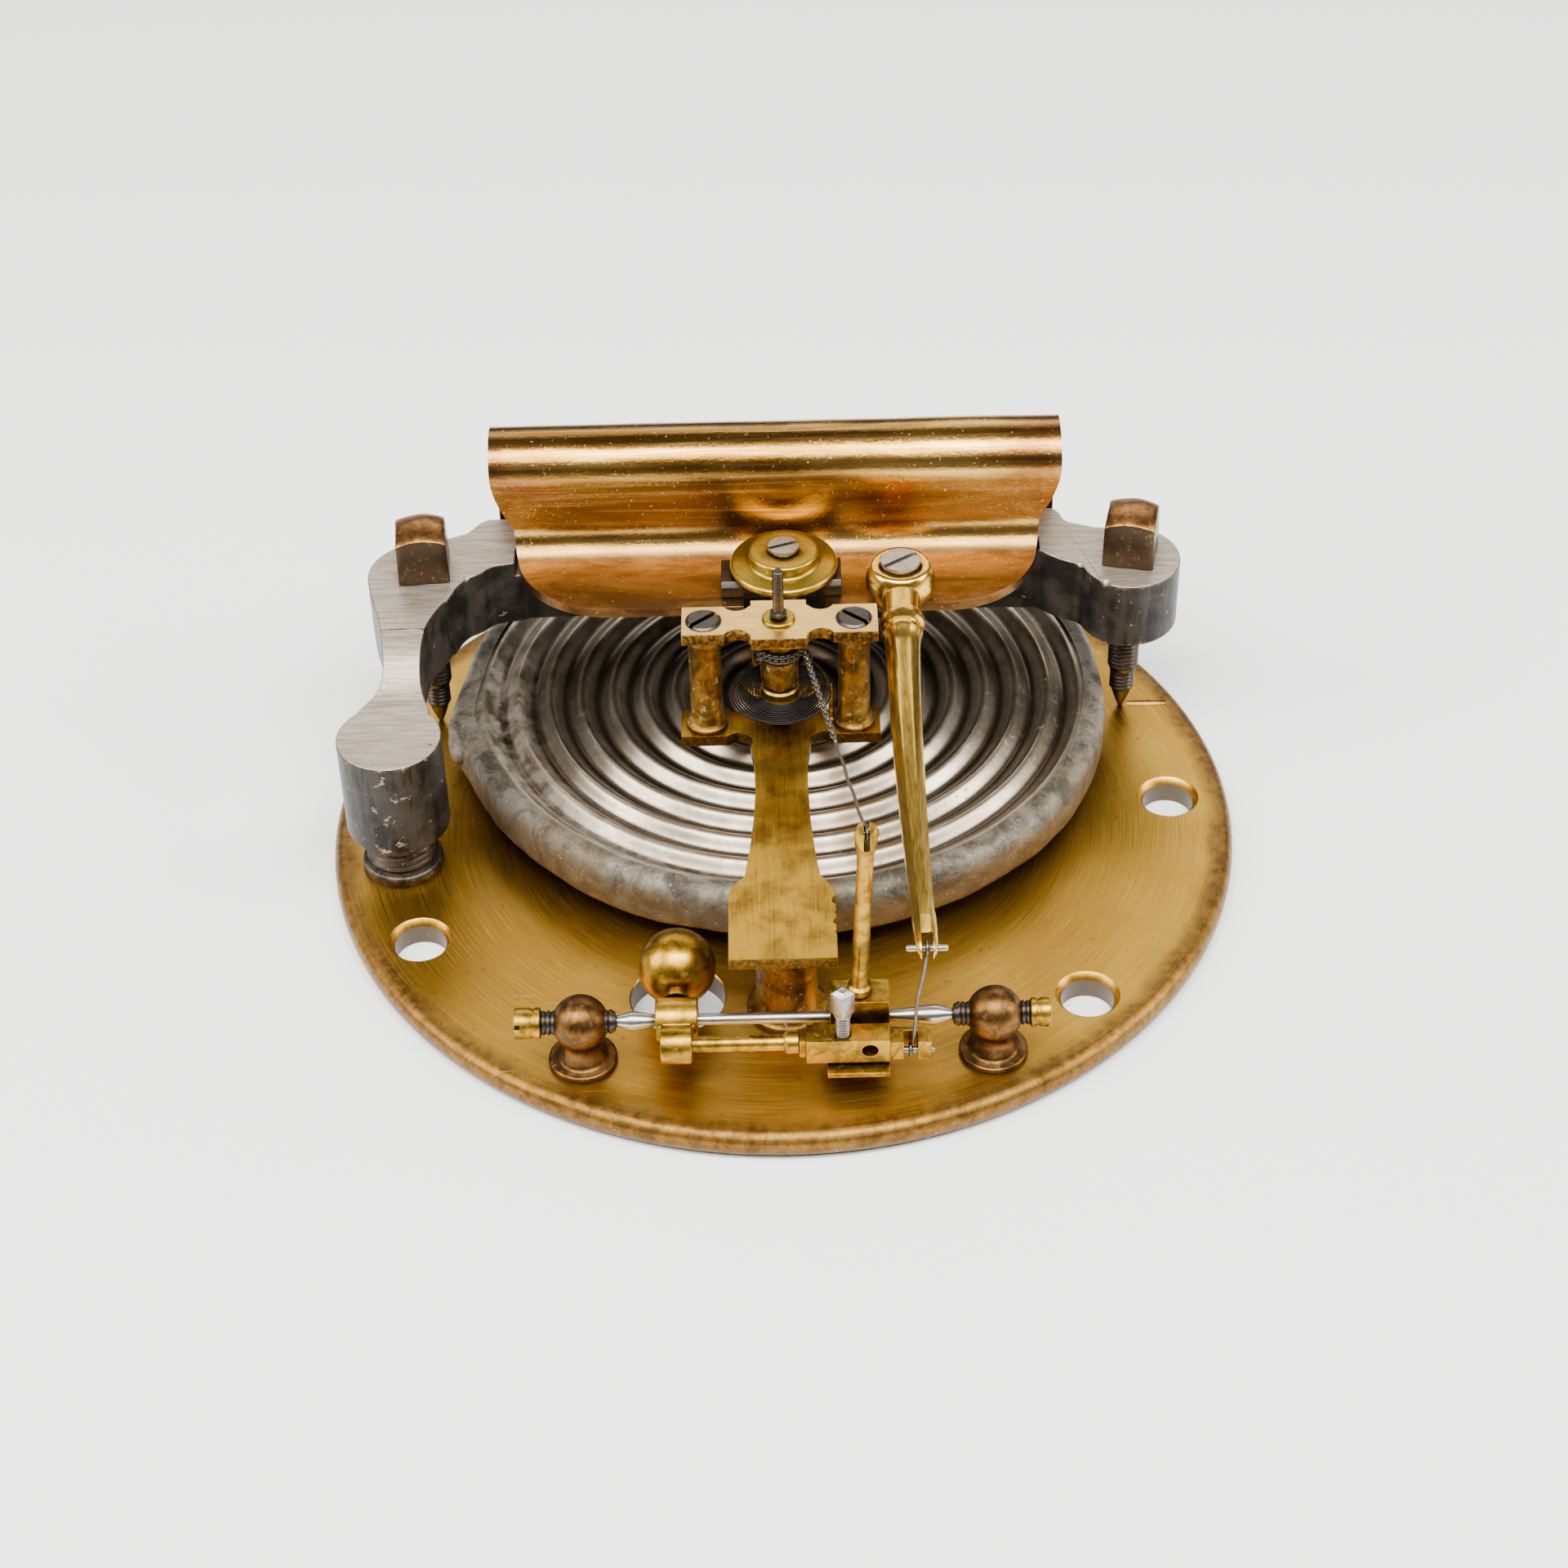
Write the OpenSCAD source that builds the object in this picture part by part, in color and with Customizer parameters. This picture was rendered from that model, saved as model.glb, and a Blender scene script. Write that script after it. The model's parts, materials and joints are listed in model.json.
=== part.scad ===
// Aneroid barometer movement: vacuum capsule, curved mainspring, compensated
// lever, rocker with counterweight, chain and pointer arbor on a round plate.
// Millimetres, +Z up, origin at the middle of the plate's underside, -Y is the front.

/* [Base plate] */
// Radius of the round base plate
plate_r = 50; // [40:0.5:60]
// Thickness of the base plate
plate_t = 3; // [2:0.1:4]
// Roundness of the plate's rim
plate_rim = 1.35; // [0.3:0.05:1.4]
// Radius of the three case screw holes
case_hole_r = 2.8; // [1.5:0.1:3.5]
// Depth and width of the chamfer on the case screw holes
case_hole_cham = 0.55; // [0.2:0.05:1]
// Radius of the clearance hole under the counterweight
weight_hole_r = 5; // [4.6:0.1:6]

/* [Capsule] */
// Outside radius of the vacuum capsule
capsule_r = 36.6; // [30:0.1:36.6]
// Height of the capsule's underside
capsule_bottom = 4.5; // [4:0.1:5]
// Height of the capsule's rim
capsule_top = 11; // [9:0.1:12]
// Spacing of the corrugations
ring_pitch = 3.6; // [3:0.1:4.5]
// Height of a corrugation
ring_h = 1; // [0.4:0.05:1.4]

/* [Bridge] */
// Height of the bridge's underside
bridge_bottom = 16.4; // [14:0.1:18]
// Height of the bridge's top
bridge_top = 24.6; // [22:0.1:24.6]
// Back face of the beam
beam_back = 27.2; // [25:0.1:27.2]
// Front face of the beam
beam_front = 19.2; // [18:0.1:20]
// Shank radius of the two bridge adjusting screws
bridge_screw_r = 1.75; // [1.2:0.05:2]
// Width of their square heads
bridge_head_w = 5.6; // [4:0.1:6]

/* [Mainspring] */
// Thickness of the spring leaf
leaf_t = 1.1; // [0.8:0.05:1.2]
// Outside radius of the spring's crest
crest_r = 4.4; // [4:0.1:4.6]
// Half width of the spring at its front
leaf_half = 29; // [24:0.5:29]
// Radius of the leaf's front corners
leaf_corner = 10.5; // [5:0.5:12]

/* [Lever] */
// Radius of the ball head of the lever
ball_r = 3.85; // [3:0.05:4]
// Radius of the lever behind its collar
lever_r = 1.8; // [1.4:0.05:2]
// Radius of the lever at its tip
lever_tip_r = 1.15; // [1.05:0.05:1.4]

/* [Rocker] */
// Radius of the rocker shaft
shaft_r = 0.6; // [0.5:0.05:0.8]
// Radius of the counterweight ball
weight_r = 4.05; // [3.5:0.05:4.2]
// Radius of the upright rod
upright_r = 0.85; // [0.7:0.05:1]
// Radial clearance of a turning pin in its hole
run = 0.05; // [0.02:0.01:0.1]

/* [Pointer arbor] */
// Radius of the pointer arbor
arbor_r = 0.6; // [0.5:0.05:0.7]
// Height of the arbor's end
arbor_top = 36.4; // [34:0.1:38]
// Radius of the chain drum
drum_r = 2.05; // [1.8:0.05:2.3]
// Number of turns of the hairspring
hair_turns = 10; // [6:1:11]

/* [Hidden] */
$fn = 48;
eps = 0.02;
// capsule and the stud that lifts it
cap_x = 0.3;
cap_y = 13.3;
stud_x = 0.7;
stud_y = 13.2;
// bridge
boss_y = 17.6;
boss_x = 39.4;
barrel_x = -41.8;
barrel_y = -7.1;
// mainspring
crest_y = 24.4;
crest_z = 33.8;
leg_out = crest_y + crest_r;
leg_in = leg_out - leaf_t;
face_y = crest_y - crest_r;
bend_y = 18.5;
bend_z = 26.5;
bend_r = 1.5;
leaf_top = bend_z - bend_r;
leaf_low = leaf_top - leaf_t;
leaf_front = 9;
clamp_z = 19;
clamp_xs = [-20, -7, 7, 20];
// lever
head_p = [13.4, 10, 27.4];
tip_p = [13.8, -42, 21.3];
// rocker
shaft_y = -38.1;
shaft_z = 8.35;
post_x = 21;
weight_p = [-11.3, -30.6, 8.6];
rod_y = -42;
rod_z = 8.7;
crank_y = -42.3;
crank_z = 7.6;
range_x = 5.5;
range_y = -42.2;
fork_p = [8, shaft_y, 33];
// pillars and cock
post_y = -31;
arm_top = 16;
arm_t = 1.4;
pillar_x = 8;
cock_low = 28.6;
cock_top = 30;
chain_end = [drum_r + 0.28, 0, 27];

// ---------- helpers ----------
module block(x0, x1, y0, y1, z0, z1) {
  translate([x0, y0, z0]) cube([x1 - x0, y1 - y0, z1 - z0]);
}
module up_cyl(x, y, z0, z1, r) {
  translate([x, y, z0]) cylinder(h = z1 - z0, r = r);
}
module up_cone(x, y, z0, z1, r0, r1) {
  translate([x, y, z0]) cylinder(h = z1 - z0, r1 = r0, r2 = r1);
}
module x_cyl(x0, x1, y, z, r) {
  translate([x0, y, z]) rotate([0, 90, 0]) cylinder(h = x1 - x0, r = r);
}
module y_cyl(x, y0, y1, z, r) {
  translate([x, y1, z]) rotate([90, 0, 0]) cylinder(h = y1 - y0, r = r);
}
// radius of the hairspring at step i of n, with its outer end led out to the stud
function hr(i, n, r0, r1) = r0 + (r1 - r0) * i / n + (i > n - 2 ? 0.12 * (i - n + 2) : 0);
// children drawn along +Z from p to q
module along(p, q) {
  d = q - p;
  translate(p) rotate([0, acos(d[2] / norm(d)), atan2(d[1], d[0])]) children();
}
function arc(cx, cy, r, a0, a1, n) =
  [for (i = [0:n]) [cx + r * cos(a0 + (a1 - a0) * i / n), cy + r * sin(a0 + (a1 - a0) * i / n)]];
// extrude a (y, z) outline along X
module x_profile(x0, x1) {
  translate([x0, 0, 0]) rotate([90, 0, 90]) linear_extrude(x1 - x0) children();
}
module square_head(x, y, z0, w, h, turn) {
  translate([x, y, z0]) rotate([0, 0, turn]) {
    translate([-w / 2, -w / 2, 0]) cube([w, w, h]);
    translate([0, 0, h - eps]) cylinder(h = w * 0.14, r1 = w * 0.46, r2 = w * 0.24);
  }
}

// ---------- base ----------
module base_plate() color([0.72, 0.55, 0.25]) {
  difference() {
    rotate_extrude($fn = 96) polygon(concat([[0, 0]],
      arc(plate_r - plate_rim, plate_rim, plate_rim, -90, 0, 3),
      arc(plate_r - plate_rim, plate_t - plate_rim, plate_rim, 0, 90, 3), [[0, plate_t]]));
    for (h = [[-39.1, -19.6], [31.4, -30.2], [43.2, 1.1]]) {
      up_cyl(h[0], h[1], -1, plate_t + 1, case_hole_r);
      up_cone(h[0], h[1], plate_t - case_hole_cham, plate_t + eps,
        case_hole_r, case_hole_r + case_hole_cham + eps);
    }
    up_cyl(-11.4, -29.3, -1, plate_t + 1, weight_hole_r);
    block(40.6, 44.6, 17.4, 18.4, plate_t - 0.35, plate_t + 1);
  }
}

module capsule_lower_shell() color([0.55, 0.52, 0.48]) {
  split = 8.4;
  translate([cap_x, cap_y, 0]) rotate_extrude($fn = 72) polygon([[0, capsule_bottom],
    [31, capsule_bottom], [33, capsule_bottom + 0.5], [capsule_r - 1, capsule_bottom + 0.6],
    [capsule_r, capsule_bottom + 1.6], [capsule_r, split], [33, split],
    [31, capsule_bottom + 1.2], [0, capsule_bottom + 0.6]]);
}

module capsule_diaphragm() color([0.62, 0.58, 0.53]) {
  split = 8.4;
  flat = 9.2;
  crest = 33.6;
  rings = 8;
  top = capsule_top - 0.4;
  translate([cap_x, cap_y, 0]) rotate_extrude($fn = 72) polygon(concat(
    [[0, flat], [32.4, flat], [33, split], [capsule_r, split], [capsule_r, capsule_top - 1.2],
     [capsule_r - 0.9, capsule_top], [35.2, capsule_top - 0.1]],
    [for (i = [0:rings - 1], j = [0:3]) let (r = crest - i * ring_pitch)
      [[r + 0.45, top], [r - 0.45, top], [r - 1.35, top - ring_h], [r - 2.25, top - ring_h]][j]],
    [[4.8, top], [0, top]]));
}

module capsule_seal() color([0.66, 0.55, 0.35]) {
  translate([-37.3, 9, 7.6]) rotate([0, 0, 6]) rotate([90, 0, 0]) translate([0, 0, -4.8])
    rotate_extrude($fn = 24) polygon([[0, 0], [1, 0.3], [1.7, 1.5], [1.95, 3.2], [1.95, 6.4],
      [1.7, 8.1], [1, 9.3], [0, 9.6]]);
}

module capsule_foot() color([0.7, 0.54, 0.28]) {
  up_cyl(cap_x, cap_y, plate_t, capsule_bottom, 6);
}

module capsule_sleeve() color([0.7, 0.56, 0.3]) {
  z0 = capsule_top - 0.4;
  difference() {
    union() {
      up_cyl(cap_x, cap_y, z0, z0 + 1.2, 4.6);
      up_cyl(cap_x, cap_y, z0, z0 + 4, 3.4);
    }
    up_cyl(cap_x, cap_y, z0 + 0.8, z0 + 5, 2.4);
  }
}

// ---------- bridge ----------
module bridge() color([0.3, 0.28, 0.26]) {
  h = bridge_top - bridge_bottom;
  difference() {
    union() {
      translate([0, 0, bridge_bottom]) linear_extrude(h) {
        polygon([[-31.6, 27.4], [-33.6, 27], [-34.6, 25.6], [-36.1, 23.8], [-38.5, 22.9],
          [-40, 16], [-36.7, 12.2], [-35.4, 15.6], [-33.1, 16.6], [-32, 18.2], [-28.5, 18.4],
          [-28, beam_front], [29.2, beam_front], [30.1, 18], [31.8, 16.7], [33.9, 15.8],
          [34.4, 14.1], [36, 12.2], [40, 17], [37.5, 22.8], [36.4, 22.9], [34.1, 23.8],
          [32.6, 24.2], [32.1, 26.3], [31, beam_back], [-31, beam_back]]);
        translate([boss_x - 0.3, boss_y - 0.4]) circle(r = 5.9);
        translate([-39.6, 16.9]) circle(r = 6.1);
      }
      // left arm with its sloping top
      x_profile(-43, -38.7) polygon([[14, bridge_bottom], [14, bridge_top],
        [8, bridge_top], [-3, 20.9], [-6, 20.6], [-6, 13.5], [0, 15.2], [4, bridge_bottom]]);
      translate([0, 0, bridge_bottom]) linear_extrude(h) polygon([[-45.6, 16], [-44.9, 12.9],
        [-43, 6], [-38.7, 6], [-37.9, 9.7], [-36.7, 12.2], [-38, 18]]);
      up_cyl(barrel_x, barrel_y, 9.1, 20.3, 5.6);
      up_cone(barrel_x, barrel_y, 20.3, 20.9, 5.6, 5);
      up_cone(barrel_x, barrel_y, 8.5, 9.1, 5, 5.6);
    }
    // relief under the spring's bend
    block(-30.6, 30.6, 15, 21.4, 22.8, bridge_top + 1);
    for (s = [-1, 1]) up_cyl(s * boss_x, boss_y, bridge_bottom - 1, bridge_top + 1,
      bridge_screw_r + run);
    for (x = clamp_xs) y_cyl(x, beam_back - 5, beam_back + 1, clamp_z, 1.2);
  }
}

module bridge_foot() color([0.34, 0.29, 0.22]) {
  up_cyl(barrel_x, barrel_y, plate_t, 4.4, 4.4);
  up_cyl(barrel_x, barrel_y, 4.4 - eps, 8.5, 3.75);
}

module bridge_screw(x, turn) {
  up_cone(x, boss_y, plate_t + 0.06, 5.6, 0.3, 1.15);
  up_cone(x, boss_y, 5.6 - eps, 8.7, 1.15, 1.3);
  up_cyl(x, boss_y, 8.7 - eps, bridge_top + 0.15, bridge_screw_r);
  square_head(x, boss_y, bridge_top + 0.1, bridge_head_w, 6.2, turn);
}
module bridge_screw_left() color([0.45, 0.36, 0.24]) bridge_screw(-boss_x, 5);
module bridge_screw_right() color([0.45, 0.36, 0.24]) bridge_screw(boss_x, -12);

module spring_clamp_plate() color([0.4, 0.38, 0.36]) {
  difference() {
    block(-28, 28, leg_out + 0.3, leg_out + 2.1, 15.8, 22.2);
    for (x = clamp_xs) y_cyl(x, leg_out, leg_out + 3, clamp_z, 1.2);
  }
}

module spring_clamp_screws() color([0.5, 0.48, 0.45]) {
  for (x = clamp_xs) {
    y_cyl(x, beam_back - 5, leg_out + 2.1, clamp_z, 1.2);
    difference() {
      y_cyl(x, leg_out + 2.1, leg_out + 3.9, clamp_z, 2.4);
      block(x - 3, x + 3, leg_out + 3.2, leg_out + 5, clamp_z - 0.35, clamp_z + 0.35);
    }
  }
}

// ---------- mainspring and what it carries ----------
module main_spring() color([0.72, 0.42, 0.26]) {
  difference() {
    intersection() {
      x_profile(-33, 33) {
        intersection() {
          translate([crest_y, crest_z]) difference() {
            circle(r = crest_r, $fn = 64);
            circle(r = crest_r - leaf_t, $fn = 64);
          }
          translate([crest_y - 6, crest_z]) square([12, 6]);
        }
        translate([leg_in, 15.6]) square([leaf_t, crest_z - 15.6 + eps]);
        translate([face_y, bend_z - eps]) square([leaf_t, crest_z - bend_z + 2 * eps]);
        intersection() {
          translate([bend_y, bend_z]) difference() {
            circle(r = bend_r + leaf_t, $fn = 64);
            circle(r = bend_r, $fn = 64);
          }
          translate([bend_y, bend_z - 4]) square([4, 4]);
        }
        translate([leaf_front, leaf_low]) square([bend_y - leaf_front + eps, leaf_t]);
      }
      translate([0, 0, 10]) linear_extrude(40) polygon(concat(
        [[31.9, 30], [31.6, 27.5], [30.1, crest_y], [29.3, 20.5], [leaf_half, 18.5]],
        arc(leaf_half - leaf_corner, leaf_front + leaf_corner, leaf_corner, 0, -90, 10),
        arc(-leaf_half + leaf_corner, leaf_front + leaf_corner, leaf_corner, -90, -180, 10),
        [[-leaf_half, 18.5], [-29.3, 20.5], [-30.1, crest_y], [-31.6, 27.5], [-31.9, 30]]));
    }
    // slot in the front edge round the capsule stud
    block(stud_x - 4.5, stud_x + 4.5, 5, 14, 20, 26);
    up_cyl(stud_x, 14, 20, 26, 4.5);
    for (x = clamp_xs) y_cyl(x, leg_in - 1, leg_out + 1, clamp_z, 1.7);
  }
}

module knife_edge_bar() color([0.2, 0.2, 0.21]) {
  difference() {
    x_profile(stud_x - 6.9, stud_x + 6.3) polygon([[10.6, leaf_top], [15.5, leaf_top],
      [15.5, 26.6], [15, 27], [10.9, 27], [10.4, 26.4], [10.4, leaf_top + 0.4]]);
    up_cyl(stud_x, stud_y, 24, 28, 1.6);
  }
}

module thrust_disc() color([0.75, 0.6, 0.32]) {
  translate([stud_x, stud_y, 27]) difference() {
    rotate_extrude($fn = 64) polygon([[0, 0], [5.6, 0], [5.95, 0.35], [5.95, 0.8], [5.6, 1.15],
      [4, 1.15], [3.8, 1.3], [3.8, 2.35], [3.55, 2.6], [0, 2.6]]);
    translate([0, 0, -1]) cylinder(h = 5, r = 1.1);
  }
}

module disc_screw() color([0.45, 0.45, 0.45]) {
  difference() {
    union() {
      up_cyl(stud_x, stud_y, 27, 29.62, 1.1);
      up_cyl(stud_x, stud_y, 29.6, 30.15, 1.7);
    }
    translate([stud_x, stud_y, 29.8]) rotate([0, 0, 20]) translate([-3, -0.22, 0])
      cube([6, 0.44, 1]);
  }
}

module capsule_stud() color([0.6, 0.5, 0.3]) {
  up_cyl(stud_x, stud_y, 12.6, 27, 1.6);
}

module main_lever() color([0.83, 0.68, 0.35]) {
  neck_p = [13.42, 7, 27.05];
  mid_p = [13.45, 2.2, 26.5];
  oct_p = [13.6, -13, 24.7];
  end_p = tip_p + [0, -1.1, -0.13];
  difference() {
    union() {
      translate([head_p[0], head_p[1], 0]) rotate_extrude($fn = 36) polygon(concat(
        [[0, leaf_top]], arc(0, head_p[2], ball_r, -asin((head_p[2] - leaf_top) / ball_r),
        asin(2.2 / ball_r), 8), [[0, head_p[2] + 2.2]]));
      along(neck_p, mid_p) cylinder(h = norm(mid_p - neck_p), r = 2.1, $fn = 32);
      along(mid_p + [0, 1.2, 0.14], mid_p) cylinder(h = 1.2, r1 = 2.35, r2 = 2.2, $fn = 32);
      along(mid_p, oct_p) cylinder(h = norm(oct_p - mid_p), r1 = lever_r, r2 = 1.6, $fn = 32);
      along(oct_p, end_p) cylinder(h = norm(end_p - oct_p), r1 = 1.64, r2 = lever_tip_r, $fn = 8);
    }
    // fork slot and its pin hole
    block(tip_p[0] - 0.55, tip_p[0] + 0.55, -46, tip_p[1] + 5.8, 19, 24);
    x_cyl(10, 18, tip_p[1], tip_p[2], 0.35);
  }
}

module lever_screw() color([0.55, 0.53, 0.5]) {
  z0 = head_p[2] + 2.2;
  difference() {
    up_cyl(head_p[0], head_p[1], z0, z0 + 0.55, 2.15);
    translate([head_p[0], head_p[1], z0 + 0.2]) rotate([0, 0, 35]) translate([-3, -0.25, 0])
      cube([6, 0.5, 1]);
  }
}

module lever_pin() color([0.6, 0.58, 0.55]) {
  x_cyl(tip_p[0] - 2.05, tip_p[0] + 2.05, tip_p[1], tip_p[2], 0.35);
}

module wire_link() color([0.55, 0.54, 0.52]) {
  top = [tip_p[0], tip_p[1], tip_p[2]];
  low = [12.3, crank_y, crank_z];
  difference() {
    union() {
      x_cyl(top[0] - 0.27, top[0] + 0.27, top[1], top[2], 0.8);
      x_cyl(low[0] - 0.27, low[0] + 0.27, low[1], low[2], 0.78);
      along(low + [0.05, 0, 0.55], top + [-0.05, 0, -0.55])
        translate([-0.27, -0.27, 0]) cube([0.54, 0.54, norm(top - low) - 1.1]);
    }
    // the upper eye has play on the lever's pin; the lower one runs on the crank pin
    x_cyl(top[0] - 1, top[0] + 1, top[1], top[2], 0.35 + 0.12);
    x_cyl(low[0] - 1, low[0] + 1, low[1], low[2], 0.35 + run);
  }
}

// ---------- rocker ----------
module pivot_post(x) {
  difference() {
    translate([x, shaft_y, 0]) rotate_extrude($fn = 36) polygon(concat([[0, plate_t],
      [3.5, plate_t], [3.5, 3.7], [2.7, 4.2], [2.1, 4.9], [1.9, 5.6]],
      arc(0, shaft_z - 0.05, 2.9, -49, 90, 8)));
    x_cyl(x - 5, x + 5, shaft_y, shaft_z, 1.27 + run);
  }
}
module pivot_post_left() color([0.4, 0.32, 0.2]) pivot_post(-post_x);
module pivot_post_right() color([0.4, 0.32, 0.2]) pivot_post(post_x);

module pivot_screw_left() color([0.22, 0.21, 0.2]) {
  difference() {
    union() {
      x_cyl(-25.1, -17.4, shaft_y, shaft_z, 1.27);
      x_cyl(-27.7, -25, shaft_y, shaft_z, 1.6);
    }
    x_cyl(-18.3, -17, shaft_y, shaft_z, shaft_r + run);
    block(-29, -27.1, -42, -34, shaft_z - 0.25, shaft_z + 0.25);
  }
}
module pivot_screw_right() color([0.22, 0.21, 0.2]) {
  difference() {
    union() {
      x_cyl(16.8, 24.7, shaft_y, shaft_z, 1.27);
      x_cyl(24.6, 26.7, shaft_y, shaft_z, 1.5);
    }
    x_cyl(16, 17.7, shaft_y, shaft_z, shaft_r + run);
    block(26.1, 28, -42, -34, shaft_z - 0.25, shaft_z + 0.25);
  }
}

module rocker_shaft() color([0.62, 0.6, 0.57]) {
  x_cyl(-17.95, 17.35, shaft_y, shaft_z, shaft_r);
}

module shaft_block() color([0.5, 0.38, 0.2]) {
  difference() {
    union() {
      block(4.3, 10.3, -39.7, -36.3, 5.9, 11.8);
      block(3.9, 10.2, -44.4, -36.3, 5.9, 6.5);
    }
    x_cyl(3, 12, shaft_y, shaft_z, shaft_r);
    up_cyl(7.2, shaft_y, 9.8, 12, upright_r);
  }
}

module upright_rod() color([0.6, 0.46, 0.26]) {
  low = [7.2, shaft_y, 9.8];
  high = fork_p + [0.03, 0, 0.9];
  difference() {
    union() {
      along(low, high) cylinder(h = norm(high - low), r = upright_r, $fn = 32);
      up_cyl(7.2, shaft_y, 11.8, 13, 1.25);
    }
    up_cone(7.2, shaft_y, 8.5, 9.85, 2, 2);
    block(fork_p[0] - 0.32, fork_p[0] + 0.32, -40, -36, fork_p[2] - 1.3, fork_p[2] + 3);
    x_cyl(5, 11, shaft_y, fork_p[2], 0.28);
  }
}

module rod_pin() color([0.6, 0.6, 0.58]) {
  x_cyl(fork_p[0] - 1.15, fork_p[0] + 1.15, shaft_y, fork_p[2], 0.28);
}

module twin_boss() color([0.52, 0.4, 0.22]) {
  difference() {
    union() {
      x_cyl(-13.35, -9.05, shaft_y, shaft_z, 2.3);
      translate([-12.8, rod_y, rod_z]) rotate([0, 90, 0]) cylinder(h = 3.2, r = 2, $fn = 12);
      block(-12.6, -9.8, rod_y, shaft_y, 7.3, 9.6);
    }
    x_cyl(-15, -8, shaft_y, shaft_z, shaft_r);
    x_cyl(-11, -8, rod_y, rod_z, 0.83);
    y_cyl(weight_p[0], shaft_y + 1.2, shaft_y + 4, weight_p[2], 0.8);
  }
}

module counterweight() color([0.55, 0.42, 0.22]) {
  translate(weight_p) rotate_extrude($fn = 36) polygon(arc(0, 0, weight_r, -90, 90, 12));
  y_cyl(weight_p[0], shaft_y + 1.2, weight_p[1] - 2, weight_p[2], 0.8);
}

module parallel_rod() color([0.55, 0.43, 0.25]) {
  x_cyl(-11, -0.4, rod_y, rod_z, 0.83);
  x_cyl(-0.42, 1.1, rod_y, rod_z, 1.15);
}

module adjusting_bar() color([0.5, 0.38, 0.2]) {
  difference() {
    union() {
      block(1.8, 10.2, -43.4, -40.8, 7, 10);
      block(1.1, 1.85, -43, -41.1, 7.5, 9.7);
      // tongue with the link's notch
      block(10.15, 14.4, -43, -40.7, 6.9, 9.3);
    }
    block(11.6, 13, -44, -41.2, 6, 10);
    up_cyl(range_x, range_y, 6, 11, 0.75 + run);
    y_cyl(8.2, -44, -41.8, 8.6, 0.8);
    x_cyl(10.6, 14.7, crank_y, crank_z, 0.35);
  }
}

module crank_pin() color([0.6, 0.58, 0.55]) {
  x_cyl(10.6, 14.7, crank_y, crank_z, 0.35);
}

module range_screw() color([0.7, 0.69, 0.66]) {
  up_cyl(range_x, range_y, 6.55, 13, 0.75);
  square_head(range_x, range_y, 12.9, 1.75, 3, 40);
}

// ---------- chain ----------
module chain() color([0.5, 0.5, 0.48]) {
  span = norm(chain_end - fork_p);
  links = 14;
  first = 0.44 * span;
  pitch = (span - first) / links;
  difference() {
    union() {
      x_cyl(fork_p[0] - 0.2, fork_p[0] + 0.2, shaft_y, fork_p[2], 0.7);
      along(fork_p, chain_end) {
        translate([-0.27, -0.18, 0.5]) cube([0.54, 0.36, first - 0.5 + 0.1]);
        for (i = [0:links - 1]) translate([0, 0, first + i * pitch])
          if (i % 2 == 0) translate([-0.34, -0.14, 0]) cube([0.68, 0.28, pitch + 0.05]);
          else translate([-0.14, -0.34, 0]) cube([0.28, 0.68, pitch + 0.05]);
      }
    }
    x_cyl(fork_p[0] - 1, fork_p[0] + 1, shaft_y, fork_p[2], 0.28 + run);
  }
}

// ---------- arm, cock and arbor ----------
module arm_post() color([0.4, 0.31, 0.18]) {
  translate([0, post_y, 0]) rotate_extrude() polygon([[0, plate_t], [4.2, plate_t], [4.2, 3.8],
    [3.5, 4.5], [3.2, 5.4], [3.2, 13.8], [3.5, arm_top - arm_t], [0, arm_top - arm_t]]);
}

module pillar_arm() color([0.72, 0.55, 0.28]) {
  difference() {
    translate([0, 0, arm_top - arm_t]) linear_extrude(arm_t) difference() {
      polygon([[-5.8, -37.5], [5.2, -37.5], [5.2, -27.6], [4.6, -26.4], [3.7, -25], [3.25, -21],
        [2.9, -16], [2.75, -11], [2.8, -6.5], [3.2, -3.6], [4.2, -2.3], [10.85, -2.3],
        [10.85, 2.3], [-10.85, 2.3], [-10.85, -2.3], [-4.4, -2.3], [-3.4, -3.6], [-3, -6.5],
        [-2.85, -11], [-3.1, -16], [-3.55, -21], [-4.1, -25], [-5.2, -26.4], [-5.8, -27.6]]);
      for (s = [-1, 1], t = [-1, 1]) translate([s * 4.6, t * 3.3]) circle(r = 1.5);
    }
    up_cyl(0, 0, 10, 20, arbor_r + run);
  }
}

module cock_pillars() color([0.42, 0.33, 0.2]) {
  for (s = [-1, 1]) difference() {
    translate([s * pillar_x, 0, 0]) rotate_extrude($fn = 36) polygon([[0, arm_top],
      [2.2, arm_top], [2.2, 16.7], [1.73, 17.3], [1.73, cock_low], [0, cock_low]]);
    up_cyl(s * pillar_x, 0, 25, 29, 0.9);
  }
}

module cock_plate() color([0.85, 0.7, 0.38]) {
  difference() {
    translate([0, 0, cock_low]) linear_extrude(cock_top - cock_low) difference() {
      union() {
        translate([-10.35, -2.5]) square([20.9, 5]);
        translate([-3, -3.45]) square([6, 6.9]);
      }
      for (s = [-1, 1], t = [-1, 1]) translate([s * 4.5, t * 3.2]) circle(r = 1.5);
    }
    up_cyl(0, 0, 28, 31, 1.2);
    for (s = [-1, 1]) {
      up_cyl(s * pillar_x, 0, 28, 31, 0.9);
      up_cone(s * pillar_x, 0, cock_top - 1, cock_top + eps, 0.9, 1.9 + eps);
    }
  }
}

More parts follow.
